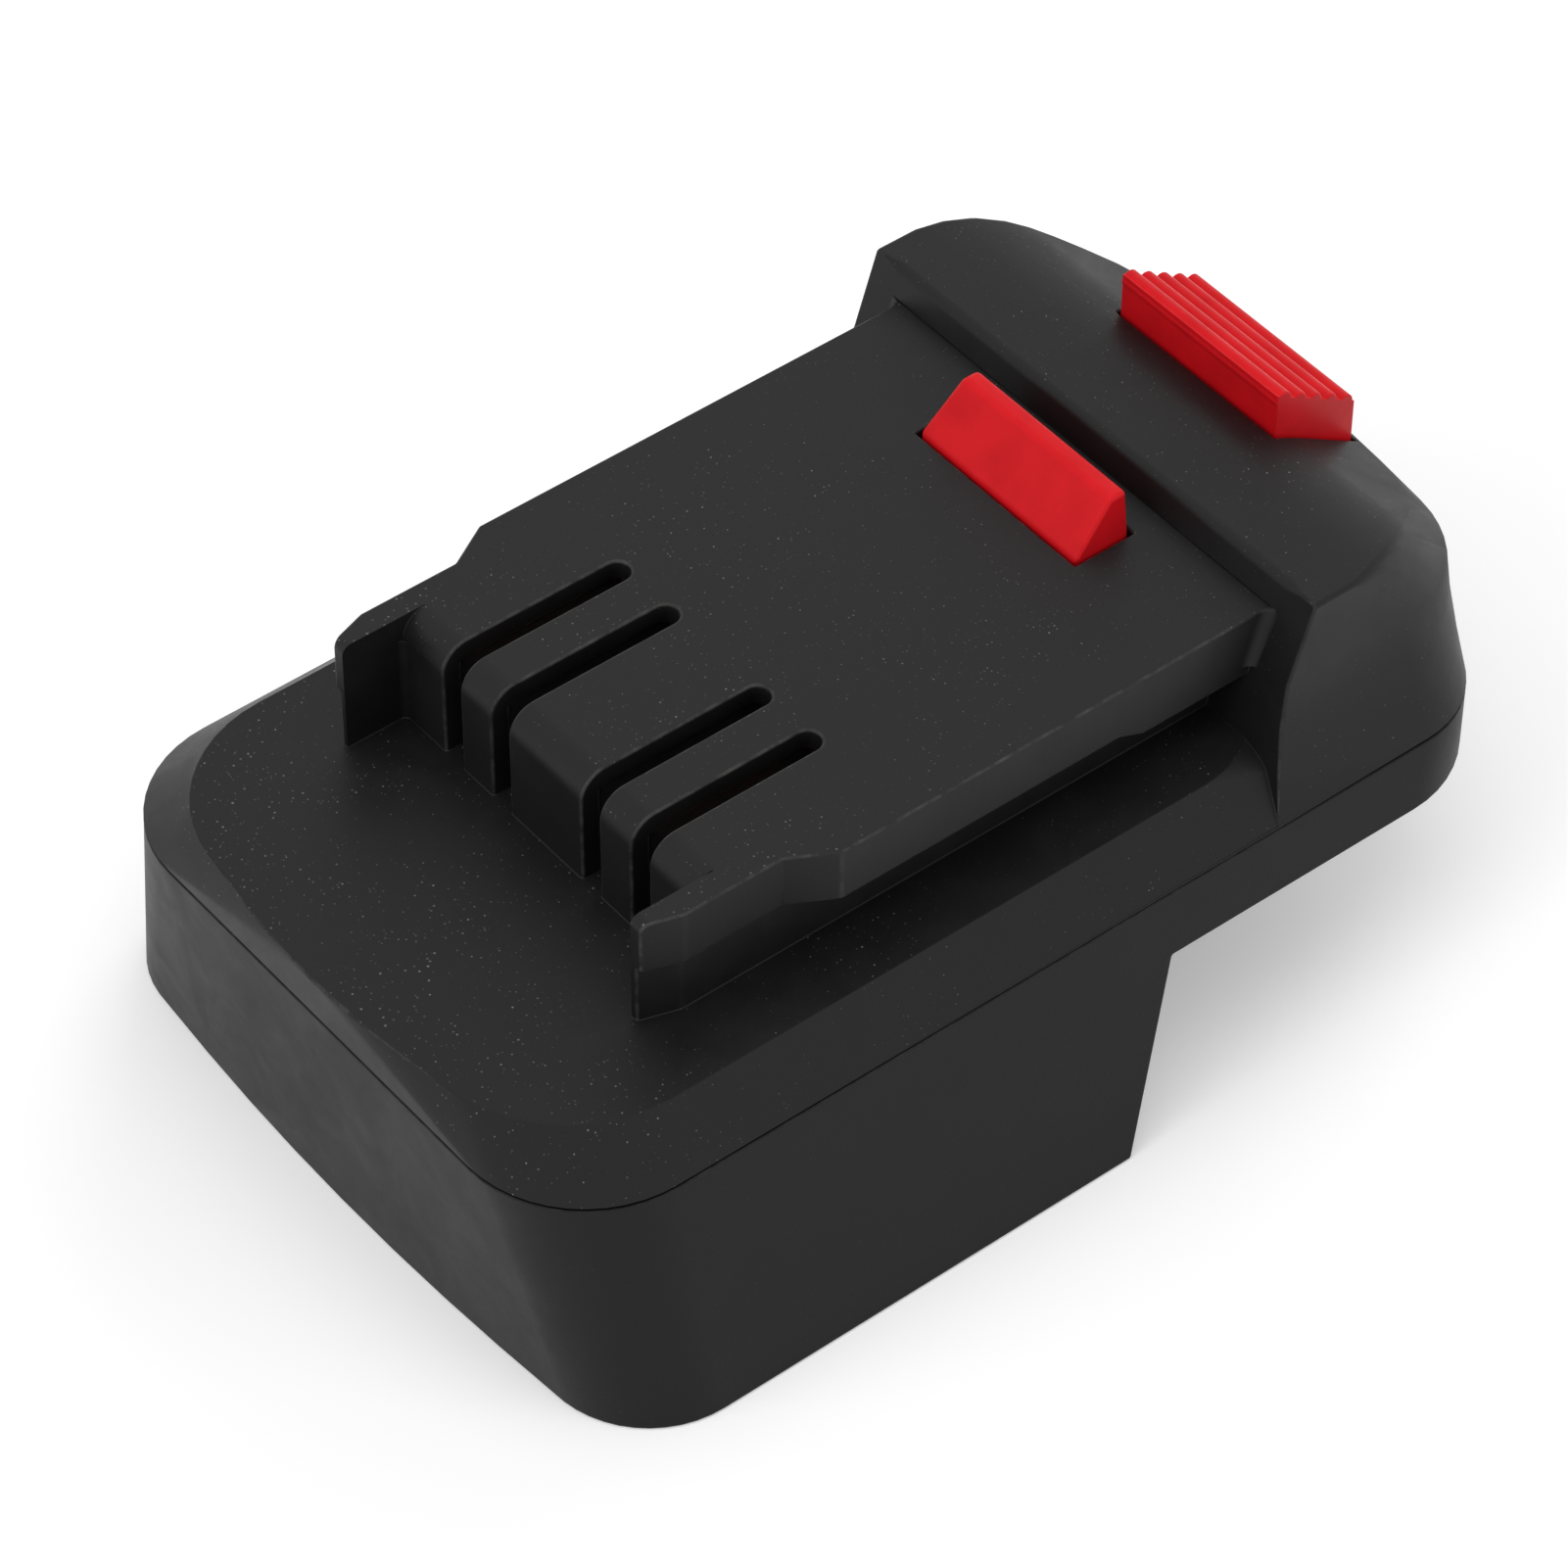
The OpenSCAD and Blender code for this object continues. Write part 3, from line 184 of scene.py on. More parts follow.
def moulded_black(name, grain_mm, grain_height_mm, mottle, dust_share, sheen):
    """ABS, injection moulded in a spark-eroded tool: a dull black skin with a fine even grain.
    It shows a soft wide sheen where it is seen at a flat angle and small shifts in that sheen where
    the melt cooled unevenly. Dust lies in pale specks on the upward faces. Outward edges carry a
    pale crest, partly worn by handling and partly a painted highlight."""
    finish = bpy.context.scene.adapter_finishes
    made, tree, out = new_material(name)
    place = add_node(tree, "ShaderNodeTexCoord").outputs["Object"]
    facing = add_node(tree, "ShaderNodeNewGeometry").outputs["Normal"]
    upward = add_node(tree, "ShaderNodeSeparateXYZ", (facing,)).outputs["Z"]
    ahead = add_node(tree, "ShaderNodeSeparateXYZ", (place,)).outputs["X"]
    # The tool's grain is about 0.1 mm, drawn two to three times as coarse so that it shows
    grain = add_node(tree, "ShaderNodeTexNoise", {
        "Vector": place, "Scale": 1 / (grain_mm * MM), "Detail": 3.0,
        "Roughness": 0.6}).outputs[0]
    # Flow marks in the sheen are patches of 5 to 10 mm
    flow = add_node(tree, "ShaderNodeTexNoise", {
        "Vector": place, "Scale": 1 / (7 * MM), "Detail": 4.0, "Roughness": 0.65,
        "Distortion": 0.6}).outputs[0]
    # Dust specks are 0.1 to 0.3 mm across, about 0.5 mm apart, thicker in drifts of 14 mm, on
    # upward faces and towards the front
    speck = add_node(tree, "ShaderNodeTexVoronoi", {"Vector": place, "Scale": 1 / (0.5 * MM)})
    drift = add_node(tree, "ShaderNodeTexNoise", {
        "Vector": place, "Scale": 1 / (14 * MM), "Detail": 2.0}).outputs[0]
    in_drifts = add_node(tree, "ShaderNodeMapRange", (drift, 0.3, 0.65, 0.35, 1.0)).outputs[0]
    on_top = add_node(tree, "ShaderNodeMapRange", (upward, 0.0, 0.9, 0.35, 1.0)).outputs[0]
    in_front = add_node(tree, "ShaderNodeMapRange", (
        ahead, -40 * MM, 10 * MM, 1.0, 0.72)).outputs[0]
    settled = add_node(tree, "ShaderNodeMath", (in_drifts, on_top), operation="MULTIPLY").outputs[0]
    settled = add_node(tree, "ShaderNodeMath", (settled, in_front), operation="MULTIPLY").outputs[0]
    lot = add_node(tree, "ShaderNodeSeparateXYZ", (speck.outputs["Color"],))
    reach = add_node(tree, "ShaderNodeMath", (
        lot.outputs["X"], settled), operation="MULTIPLY").outputs[0]
    radius = add_node(tree, "ShaderNodeMapRange", (
        reach, 0.0, 1.0, 0.02, 0.3 * dust_share)).outputs[0]
    inside = add_node(tree, "ShaderNodeMath", (
        radius, speck.outputs["Distance"]), operation="SUBTRACT").outputs[0]
    cover = add_node(tree, "ShaderNodeMapRange", (inside, 0.0, 0.05, 0.0, 1.0)).outputs[0]
    # Most specks are faint and a few are pale
    pale = add_node(tree, "ShaderNodeMath", (
        lot.outputs["Y"], 3.0), operation="POWER").outputs[0]
    pale = add_node(tree, "ShaderNodeMapRange", (pale, 0.0, 1.0, 0.1, 0.45)).outputs[0]
    dusty = add_node(tree, "ShaderNodeMath", (cover, pale), operation="MULTIPLY").outputs[0]
    # Outward edge crests are painted pale in broken stretches of about 2 mm, least at the head:
    # partly worn by handling, partly a painted highlight
    crest_breakup = add_node(tree, "ShaderNodeTexNoise", {
        "Vector": place, "Scale": 1 / (2 * MM), "Detail": 4.0, "Roughness": 0.7}).outputs[0]
    crest_breakup = add_node(tree, "ShaderNodeMapRange", (crest_breakup, 0.4, 0.7, 0.02, 0.14)).outputs[0]
    crest = add_node(tree, "ShaderNodeAttribute", attribute_name="edge_wear").outputs["Fac"]
    off_head = add_node(tree, "ShaderNodeMapRange", (
        ahead, 27 * MM, 30 * MM, 1.0, 0.25)).outputs[0]
    worn_and_highlit = add_node(tree, "ShaderNodeMath", (crest, crest_breakup), operation="MULTIPLY").outputs[0]
    worn_and_highlit = add_node(tree, "ShaderNodeMath", (worn_and_highlit, off_head), operation="MULTIPLY").outputs[0]
    pale_parts = add_node(tree, "ShaderNodeMath", (dusty, worn_and_highlit), operation="MAXIMUM").outputs[0]
    patch = add_node(tree, "ShaderNodeMapRange", (flow, 0.4, 0.75, 0.0, 1.0)).outputs[0]
    skin = add_node(tree, "ShaderNodeMix", {
        "Factor": patch, 6: tuple(finish.black), 7: toned(finish.black, 1.0 + mottle)},
        data_type="RGBA").outputs[2]
    # The pale colour goes on the specks and on the edge crests, which are worn edge and painted
    # highlight
    shade = add_node(tree, "ShaderNodeMix", {
        "Factor": pale_parts, 6: skin, 7: tuple(finish.dust_and_edge_highlight)}, data_type="RGBA").outputs[2]
    rough = add_node(tree, "ShaderNodeMapRange", (
        flow, 0.3, 0.7, finish.black_gloss - 0.05, finish.black_gloss + 0.06)).outputs[0]
    bump = add_node(tree, "ShaderNodeBump", {
        "Height": grain, "Strength": 0.5, "Distance": grain_height_mm * MM}).outputs[0]
    shader = add_node(tree, "ShaderNodeBsdfPrincipled", {
        "Base Color": shade, "Roughness": rough, "IOR": 1.5, "Specular IOR Level": sheen,
        "Normal": bump})
    tree.links.new(shader.outputs[0], out.inputs[0])
    return made


def moulded_red(name):
    """ABS, injection moulded in a fine-blasted tool: strong red with a soft even gloss.
    It shows a broad highlight on the rounded edges and a very fine grain on the flat faces."""
    finish = bpy.context.scene.adapter_finishes
    made, tree, out = new_material(name)
    place = add_node(tree, "ShaderNodeTexCoord").outputs["Object"]
    # The blasted grain is about 0.15 mm
    grain = add_node(tree, "ShaderNodeTexNoise", {
        "Vector": place, "Scale": 1 / (0.15 * MM), "Detail": 2.0}).outputs[0]
    # Patches of deeper red are about 4 mm
    flow = add_node(tree, "ShaderNodeTexNoise", {
        "Vector": place, "Scale": 1 / (4 * MM), "Detail": 3.0}).outputs[0]
    patch = add_node(tree, "ShaderNodeMapRange", (flow, 0.35, 0.7, 0.0, 1.0)).outputs[0]
    shade = add_node(tree, "ShaderNodeMix", {
        "Factor": patch, 6: tuple(finish.red), 7: toned(finish.red, 0.86)},
        data_type="RGBA").outputs[2]
    rough = add_node(tree, "ShaderNodeMapRange", (
        flow, 0.3, 0.7, finish.red_gloss - 0.04, finish.red_gloss + 0.05)).outputs[0]
    bump = add_node(tree, "ShaderNodeBump", {
        "Height": grain, "Strength": 0.25, "Distance": 0.012 * MM}).outputs[0]
    shader = add_node(tree, "ShaderNodeBsdfPrincipled", {
        "Base Color": shade, "Roughness": rough, "IOR": 1.5, "Specular IOR Level": 0.2,
        "Normal": bump})
    tree.links.new(shader.outputs[0], out.inputs[0])
    return made


def moulded_nylon(name):
    """Glass-filled nylon, injection moulded: near black, with short pale fibres under the skin.
    It shows a dull, slightly streaky surface."""
    finish = bpy.context.scene.adapter_finishes
    made, tree, out = new_material(name)
    place = add_node(tree, "ShaderNodeTexCoord").outputs["Object"]
    # Fibres are about 0.3 mm long and lie along the flow, drawn three times as large to show
    along = add_node(tree, "ShaderNodeMapping", {
        "Vector": place, "Scale": (1 / (0.9 * MM), 1 / (0.2 * MM), 1 / (0.2 * MM))}).outputs[0]
    fibre = add_node(tree, "ShaderNodeTexNoise", {
        "Vector": along, "Scale": 1.0, "Detail": 2.0}).outputs[0]
    streak = add_node(tree, "ShaderNodeMapRange", (fibre, 0.55, 0.75, 0.0, 1.0)).outputs[0]
    base = finish.insert
    pale = tuple(min(1.0, part * 2.2 + 0.004) for part in base[:3]) + (1.0,)
    shade = add_node(tree, "ShaderNodeMix", {
        "Factor": streak, 6: tuple(base), 7: pale}, data_type="RGBA").outputs[2]
    rough = add_node(tree, "ShaderNodeMapRange", (fibre, 0.3, 0.7, 0.5, 0.62)).outputs[0]
    bump = add_node(tree, "ShaderNodeBump", {
        "Height": fibre, "Strength": 0.4, "Distance": 0.02 * MM}).outputs[0]
    shader = add_node(tree, "ShaderNodeBsdfPrincipled", {
        "Base Color": shade, "Roughness": rough, "IOR": 1.53, "Specular IOR Level": 0.35,
        "Normal": bump})
    tree.links.new(shader.outputs[0], out.inputs[0])
    return made


def bright_metal(name, base, streak_mm, rough_low, rough_high):
    """Drawn, rolled or plated metal: a clear metallic colour with fine lines from the tool.
    It shows a stretched highlight that breaks up along those lines."""
    made, tree, out = new_material(name)
    place = add_node(tree, "ShaderNodeTexCoord").outputs["Object"]
    # Lines run along the body; they are a tenth as wide as they are long
    across = 1 / (streak_mm * MM)
    along = add_node(tree, "ShaderNodeMapping", {
        "Vector": place, "Scale": (0.1 / (streak_mm * MM), across, across)}).outputs[0]
    line = add_node(tree, "ShaderNodeTexNoise", {
        "Vector": along, "Scale": 1.0, "Detail": 3.0}).outputs[0]
    # Tarnish lies in patches of about 2.5 mm
    dull = add_node(tree, "ShaderNodeTexNoise", {
        "Vector": place, "Scale": 1 / (2.5 * MM), "Detail": 3.0}).outputs[0]
    patch = add_node(tree, "ShaderNodeMapRange", (dull, 0.4, 0.7, 0.0, 1.0)).outputs[0]
    shade = add_node(tree, "ShaderNodeMix", {
        "Factor": patch, 6: tuple(base), 7: toned(base, 0.72)}, data_type="RGBA").outputs[2]
    rough = add_node(tree, "ShaderNodeMapRange", (
        line, 0.3, 0.7, rough_low, rough_high)).outputs[0]
    bump = add_node(tree, "ShaderNodeBump", {
        "Height": line, "Strength": 0.2, "Distance": 0.01 * MM}).outputs[0]
    shader = add_node(tree, "ShaderNodeBsdfPrincipled", {
        "Base Color": shade, "Metallic": 1.0, "Roughness": rough, "Normal": bump})
    tree.links.new(shader.outputs[0], out.inputs[0])
    return made


def extruded_pvc(name, base):
    """PVC, extruded over stranded wire: one colour with a waxy gloss.
    It shows soft lumps, a little deeper in colour, where the strands lie under the skin."""
    made, tree, out = new_material(name)
    place = add_node(tree, "ShaderNodeTexCoord").outputs["Object"]
    # The lumps are about 0.5 mm apart
    lump = add_node(tree, "ShaderNodeTexNoise", {
        "Vector": place, "Scale": 1 / (0.5 * MM), "Detail": 1.0}).outputs[0]
    patch = add_node(tree, "ShaderNodeMapRange", (lump, 0.35, 0.7, 0.0, 1.0)).outputs[0]
    shade = add_node(tree, "ShaderNodeMix", {
        "Factor": patch, 6: tuple(base), 7: toned(base, 0.8)}, data_type="RGBA").outputs[2]
    bump = add_node(tree, "ShaderNodeBump", {
        "Height": lump, "Strength": 0.3, "Distance": 0.03 * MM}).outputs[0]
    shader = add_node(tree, "ShaderNodeBsdfPrincipled", {
        "Base Color": shade, "Roughness": 0.42, "IOR": 1.53, "Normal": bump})
    tree.links.new(shader.outputs[0], out.inputs[0])
    return made


def seen_directly(tree):
    """The socket that is 1 for what the camera sees, also in gloss and through glass."""
    path = add_node(tree, "ShaderNodeLightPath").outputs
    seen = add_node(tree, "ShaderNodeMath", (
        path["Is Camera Ray"], path["Is Glossy Ray"]), operation="MAXIMUM").outputs[0]
    return add_node(tree, "ShaderNodeMath", (
        seen, path["Is Transmission Ray"]), operation="MAXIMUM").outputs[0]


def studio_paper(name):
    """Matte white paper sweep: it looks white to the camera and keeps the part's soft shadow."""
    finish = bpy.context.scene.adapter_finishes
    made, tree, out = new_material(name)
    place = add_node(tree, "ShaderNodeTexCoord").outputs["Object"]
    # Paper fibre is about 0.4 mm
    fibre = add_node(tree, "ShaderNodeTexNoise", {
        "Vector": place, "Scale": 1 / (0.4 * MM), "Detail": 2.0}).outputs[0]
    bump = add_node(tree, "ShaderNodeBump", {
        "Height": fibre, "Strength": 0.1, "Distance": 0.02 * MM}).outputs[0]
    paper = add_node(tree, "ShaderNodeBsdfDiffuse", {
        "Color": tuple(finish.floor), "Normal": bump}).outputs[0]
    lift = add_node(tree, "ShaderNodeEmission", {
        "Color": (1, 1, 1, 1), "Strength": PAPER_LIFT}).outputs[0]
    both = add_node(tree, "ShaderNodeAddShader", (paper, lift)).outputs[0]
    mixed = add_node(tree, "ShaderNodeMixShader", (seen_directly(tree), paper, both))
    tree.links.new(mixed.outputs[0], out.inputs[0])
    return made


def welded(node):
    """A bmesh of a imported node, with its film-thin levels closed up and flat areas joined."""
    made = bmesh.new()
    made.from_mesh(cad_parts[node].data)
    bmesh.ops.remove_doubles(made, verts=made.verts, dist=WELD_GAP)
    bmesh.ops.dissolve_degenerate(made, edges=made.edges, dist=WELD_EDGE)
    bmesh.ops.recalc_face_normals(made, faces=made.faces)
    bmesh.ops.dissolve_limit(made, angle_limit=WELD_BEND, verts=made.verts, edges=made.edges)
    made.normal_update()
    return made


def islands(node):
    """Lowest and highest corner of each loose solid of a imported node."""
    made = welded(node)
    left, found = set(made.verts), []
    while left:
        heap, group = [left.pop()], []
        while heap:
            vert = heap.pop()
            group.append(vert.co.copy())
            for edge in vert.link_edges:
                other = edge.other_vert(vert)
                if other in left:
                    left.remove(other)
                    heap.append(other)
        found.append((Vector(map(min, *group)), Vector(map(max, *group))))
    made.free()
    return sorted(found, key=lambda pair: tuple(pair[0]))


def is_open(tree, point, facing):
    """True if light from outside reaches a point of a shell."""
    start = point + facing * OPEN_LIFT * MM
    clear = sum(ray.dot(facing) > OPEN_SLANT and tree.ray_cast(start, ray)[0] is None
                for ray in RAYS)
    return clear >= OPEN_RAYS


def neighbours(edge, vert):
    """The edges that meet an edge at one end and bound a face with it, and the angle to each."""
    along = edge.other_vert(vert).co - vert.co
    for other in vert.link_edges:
        if other is not edge and any(face in edge.link_faces for face in other.link_faces):
            way = other.other_vert(vert).co - vert.co
            yield other, way.length, along.angle(way, 0.0)


def even_rounds(radii):
    """Keeps rounds inside their faces and gives the edges of one bend the same radius."""
    for edge in list(radii):
        for vert in edge.verts:
            for other, reach, lean in neighbours(edge, vert):
                if lean < RUNS_ON or other not in radii:
                    radii[edge] = min(radii[edge], FACE_SHARE * reach * math.sin(lean))
    pairs = [(edge, other) for edge in radii for vert in edge.verts
             for other, reach, lean in neighbours(edge, vert)
             if other in radii and RUNS_ON < lean < STRAIGHT]
    for _ in range(EVEN_PASSES):
        for edge, other in pairs:
            radii[edge] = min(radii[edge], radii[other])
    for edge in [edge for edge, radius in radii.items() if radius < LEAST_ROUND]:
        del radii[edge]


def stray_places(piece, tree, reach):
    """Places of a piece's own points next to points that its rounds threw off its faces."""
    bpy.context.view_layer.update()
    seen = piece.evaluated_get(bpy.context.evaluated_depsgraph_get())
    mesh = seen.to_mesh()
    stray = [tree.find_nearest(vert.co)[3] > reach for vert in mesh.vertices]
    places = [mesh.vertices[a if stray[b] else b].co.copy()
              for a, b in (edge.vertices for edge in mesh.edges) if stray[a] != stray[b]]
    seen.to_mesh_clear()
    return places


def as_built(piece):
    """A new mesh of a piece with its modifiers settled in."""
    bpy.context.view_layer.update()
    return bpy.data.meshes.new_from_object(
        piece.evaluated_get(bpy.context.evaluated_depsgraph_get()))


def mark_wear_and_highlight(piece, bevel, tree):
    """Settles the rounds into the mesh and marks the crest of each outward round as worn and as a
    painted highlight.
    """
    # The faces of the rounds take the second material slot until they are told apart
    bevel.material = 1
    piece.data.materials.append(None)
    piece.data.materials.append(None)
    mesh = as_built(piece)
    crest = [True] * len(mesh.vertices)
    for face in mesh.polygons:
        if face.material_index != 1:
            for index in face.vertices:
                crest[index] = False
        face.material_index = 0
    mesh.materials.clear()
    # The crest mask paints both a worn edge and a highlight
    wear_and_highlight = mesh.attributes.new("edge_wear", "FLOAT", "POINT")
    for vert in mesh.vertices:
        if crest[vert.index]:
            place, facing = tree.find_nearest(vert.co)[:2]
            depth = (place - vert.co).dot(facing) / MM
            wear_and_highlight.data[vert.index].value = min(1.0, max(0.0, (depth - WEAR_AND_HIGHLIGHT_FROM) / WEAR_AND_HIGHLIGHT_SPAN))
    made = bmesh.new()
    made.from_mesh(mesh)
    for edge in made.edges:
        if len(edge.link_faces) == 2 and edge.calc_face_angle() > CRISP_BEND:
            edge.smooth = False
    made.to_mesh(mesh)
    made.free()
    piece.modifiers.remove(bevel)
    old, piece.data = piece.data, mesh
    bpy.data.meshes.remove(old)
    mesh.name = piece.name


def rounded(node, name, radius_of, finish, slot, body, segments=3):
    """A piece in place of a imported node, with rounded edges and its own finish.
    radius_of gives the radius of an edge, or None for a soft bend that is only shaded smooth."""
    made = welded(node)
    tree = BVHTree.FromBMesh(made)
    weight = made.edges.layers.float.new("bevel_weight_edge")
    radii, sharp = {}, set()
    for face in made.faces:
        face.smooth = True
    for edge in made.edges:
        if len(edge.link_faces) != 2 or edge.calc_face_angle() < SMOOTH_BEND:
            continue
        middle = (edge.verts[0].co + edge.verts[1].co) / 2
        facing = (edge.link_faces[0].normal + edge.link_faces[1].normal).normalized()
        wanted = radius_of(middle / MM, edge, edge.is_convex)
        if wanted is None:
            continue
        sharp.add(edge)
        if is_open(tree, middle, facing):
            radii[edge] = wanted
    even_rounds(radii)
    widest = max(radii.values(), default=1e-6)
    mesh = bpy.data.meshes.new(name)
    piece = bpy.data.objects.new(name, mesh)
    bpy.context.scene.collection.objects.link(piece)
    bevel = piece.modifiers.new("Rounds", "BEVEL")
    bevel.limit_method, bevel.width, bevel.segments = "WEIGHT", widest, segments
    bevel.use_clamp_overlap, bevel.miter_outer = False, "MITER_ARC"
    corners = KDTree(len(made.verts))
    made.verts.ensure_lookup_table()
    for vert in made.verts:
        corners.insert(vert.co, vert.index)
    corners.balance()
    # Rounds that still run wild are taken off at the corners where they start
    for _ in range(STRAY_PASSES):
        for edge in made.edges:
            edge[weight] = radii.get(edge, 0.0) / widest
            edge.smooth = edge in radii or edge not in sharp
        made.to_mesh(mesh)
        places = stray_places(piece, tree, STRAY_SHARE * widest)
        if not places:
            break
        for place in places:
            for _, index, _ in corners.find_range(place, STRAY_AREA * widest):
                for edge in made.verts[index].link_edges:
                    radii.pop(edge, None)
    made.free()
    mark_wear_and_highlight(piece, bevel, tree)
    shading = piece.modifiers.new("Even shading", "WEIGHTED_NORMAL")
    shading.keep_sharp, shading.weight = True, 80
    return settle(piece, finish, slot, body, node)


def settle(piece, finish, slot, body, *nodes):
    """Gives a piece its finish and its body, and hides the nodes that it stands for. Its slot is
    not used.
    """
    for entry in finish if isinstance(finish, list) else [finish]:
        piece.data.materials.append(entry)
    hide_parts(*nodes)
    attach(piece, body)
    return piece


def new_piece(name, verts, faces, marks=None):
    """A smooth mesh object; marks gives the material number of each face."""
    mesh = bpy.data.meshes.new(name)
    mesh.from_pydata(verts, [], faces)
    mesh.shade_smooth()
    if marks:
        mesh.polygons.foreach_set("material_index", marks)
    piece = bpy.data.objects.new(name, mesh)
    bpy.context.scene.collection.objects.link(piece)
    return piece


def tube(path, radius, sides):
    """Points and faces of a round tube along a path, closed at both ends."""
    verts, faces = [], []
    for i, point in enumerate(path):
        way = (path[min(i + 1, len(path) - 1)] - path[max(i - 1, 0)]).normalized()
        across = Vector((0, 0, 1)).cross(way).normalized()
        up = way.cross(across)
        verts += [point + radius * (math.cos(2 * math.pi * k / sides) * across
                                    + math.sin(2 * math.pi * k / sides) * up)
                  for k in range(sides)]
    for i in range(len(path) - 1):
        for k in range(sides):
            a, b = i * sides + k, i * sides + (k + 1) % sides
            faces.append((a, a + sides, b + sides, b))
    last = (len(path) - 1) * sides
    faces += [tuple(range(sides)), tuple(last + sides - 1 - k for k in range(sides))]
    return verts, faces


class ADAPTER_OT_top_cover(bpy.types.Operator):
    """Upper shell: sloped band, shoulder, rail pod with slots and wings, and the raised head"""

    bl_idname = "adapter.top_cover"
    bl_label = "Top cover"

    # Where the forms of the cover begin, in mm of the frame
    SEAM_Z, POD_FOOT_Z, HEAD_FOOT_Z, HEAD_UPPER_Z = 27.8, 32.8, 33, 40
    HEAD_X, HEAD_SOFT_UPPER_X, HEAD_SOFT_LOWER_X, HEAD_SIDE_Y = 29, 31, 33.5, 28
    SLOTS_X, SLOTS_Y, WINGS_X = -29.5, 17, -33
    # Bends of the head below this angle are soft
    HEAD_SOFT_BEND = math.radians(32)

    def execute(self, context):
        sizes = context.scene.adapter_sizes

        def radius_of(at, edge, convex):
            x, y, z = at
            # The cover's seam edge stays crisp all round
            if z < self.SEAM_Z:
                return 0.0
            soft_x = self.HEAD_SOFT_UPPER_X if z > self.HEAD_UPPER_Z else self.HEAD_SOFT_LOWER_X
            if x > soft_x and edge.calc_face_angle() < self.HEAD_SOFT_BEND:
                return None
            if not convex:
                return sizes.inner_edge
            if x > self.HEAD_X and abs(y) > self.HEAD_SIDE_Y and z > self.HEAD_FOOT_Z:
                return sizes.head_edge
            if x < self.SLOTS_X and abs(y) < self.SLOTS_Y and z > self.POD_FOOT_Z:
                return sizes.slot_edge
            if x < self.WINGS_X and z > self.POD_FOOT_Z:
                return sizes.wing_edge
            return sizes.shell_edge

        finish = moulded_black("ABS moulded black, cover", grain_mm=0.22, grain_height_mm=0.02,
                               mottle=0.25, dust_share=1.0, sheen=0.25)
        rounded("top_cover", "cover_shell", radius_of, finish, "black_plastic", "adapter")
        return {"FINISHED"}


class ADAPTER_OT_lower_housing(bpy.types.Operator):
    """Lower shell: flared skirt with the pack bay, its lips and the thin rear flange"""

    bl_idname = "adapter.lower_housing"
    bl_label = "Lower housing"

    # Edges above this height, in mm, are at the seam
    SEAM_Z = 26.8

    def execute(self, context):
        sizes = context.scene.adapter_sizes

        def radius_of(at, edge, convex):
            if at.z > self.SEAM_Z:
                return sizes.seam_edge
            return sizes.shell_edge if convex else sizes.inner_edge

        finish = moulded_black("ABS moulded black, housing", grain_mm=0.3, grain_height_mm=0.04,
                               mottle=0.3, dust_share=0.6, sheen=0.17)
        rounded("lower_housing", "housing_shell", radius_of, finish, "black_plastic", "adapter")
        return {"FINISHED"}


class ADAPTER_OT_release_latch(bpy.types.Operator):
    """Red moulding with the lock wedge and the ribbed release button"""

    bl_idname = "adapter.release_latch"
    bl_label = "Release latch"

    # The button lies behind this place, in mm, and its rounds are this share of the wedge's
    BUTTON_X, BUTTON_SHARE = 30, 0.7

    def execute(self, context):
        sizes = context.scene.adapter_sizes

        def radius_of(at, edge, convex):
            if not convex:
                return sizes.inner_edge
            share = 1.0 if at.x < self.BUTTON_X else self.BUTTON_SHARE
            return share * sizes.latch_edge

        rounded("release_latch", "latch_moulding", radius_of, moulded_red("ABS moulded red"),
                "red_plastic", "latch")
        return {"FINISHED"}


class ADAPTER_OT_latch_springs(bpy.types.Operator):
    """Two coil springs with closed ends that push the latch up"""

    bl_idname = "adapter.latch_springs"
    bl_label = "Latch springs"

    TURN_STEPS, WIRE_SIDES = 24, 10

    def execute(self, context):
        sizes, finish = context.scene.adapter_sizes, context.scene.adapter_finishes
        steel = bright_metal("Spring steel, drawn", finish.steel, 0.08, 0.22, 0.38)
        wire, turns = sizes.wire_diameter, sizes.spring_turns
        for side in ("left", "right"):
            node = "latch_spring_" + side
            low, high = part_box(node)
            middle = (low + high) / 2
            coil = (high.y - low.y - wire) / 2
            rise, steps = high.z - low.z - wire, self.TURN_STEPS * turns
            open_rise = (rise - 2 * wire) / (turns - 2)
            path = []
            for i in range(steps + 1):
                turn = turns * i / steps
                # The first and last turn lie close, one wire apart
                closed = min(turn, 1) + max(0, turn - turns + 1)
                up = wire * closed + open_rise * min(max(turn - 1, 0), turns - 2)
                angle = 2 * math.pi * turn
                path.append(Vector((middle.x + coil * math.cos(angle),
                                    middle.y + coil * math.sin(angle), low.z + wire / 2 + up)))
            verts, faces = tube(path, wire / 2, self.WIRE_SIDES)
            piece = settle(new_piece("spring_coil_" + side, verts, faces), steel, "spring_steel",
                           "adapter", node)
            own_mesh(piece)
        return {"FINISHED"}


class ADAPTER_OT_inserts(bpy.types.Operator):
    """Contact holder under the slots and terminal block over the pack bay"""

    bl_idname = "adapter.inserts"
    bl_label = "Inner mouldings"

    # The radius in inner corners, as a share of the radius on edges
    CORNER_SHARE = 0.6

    def execute(self, context):
        sizes = context.scene.adapter_sizes
        nylon = moulded_nylon("Nylon moulded, glass filled")

        def radius_of(at, edge, convex):
            return sizes.insert_edge if convex else self.CORNER_SHARE * sizes.insert_edge

        for node, name in (("contact_holder", "holder_moulding"),
                           ("terminal_block", "terminal_moulding")):
            rounded(node, name, radius_of, nylon, "insert_plastic", "adapter")
        return {"FINISHED"}


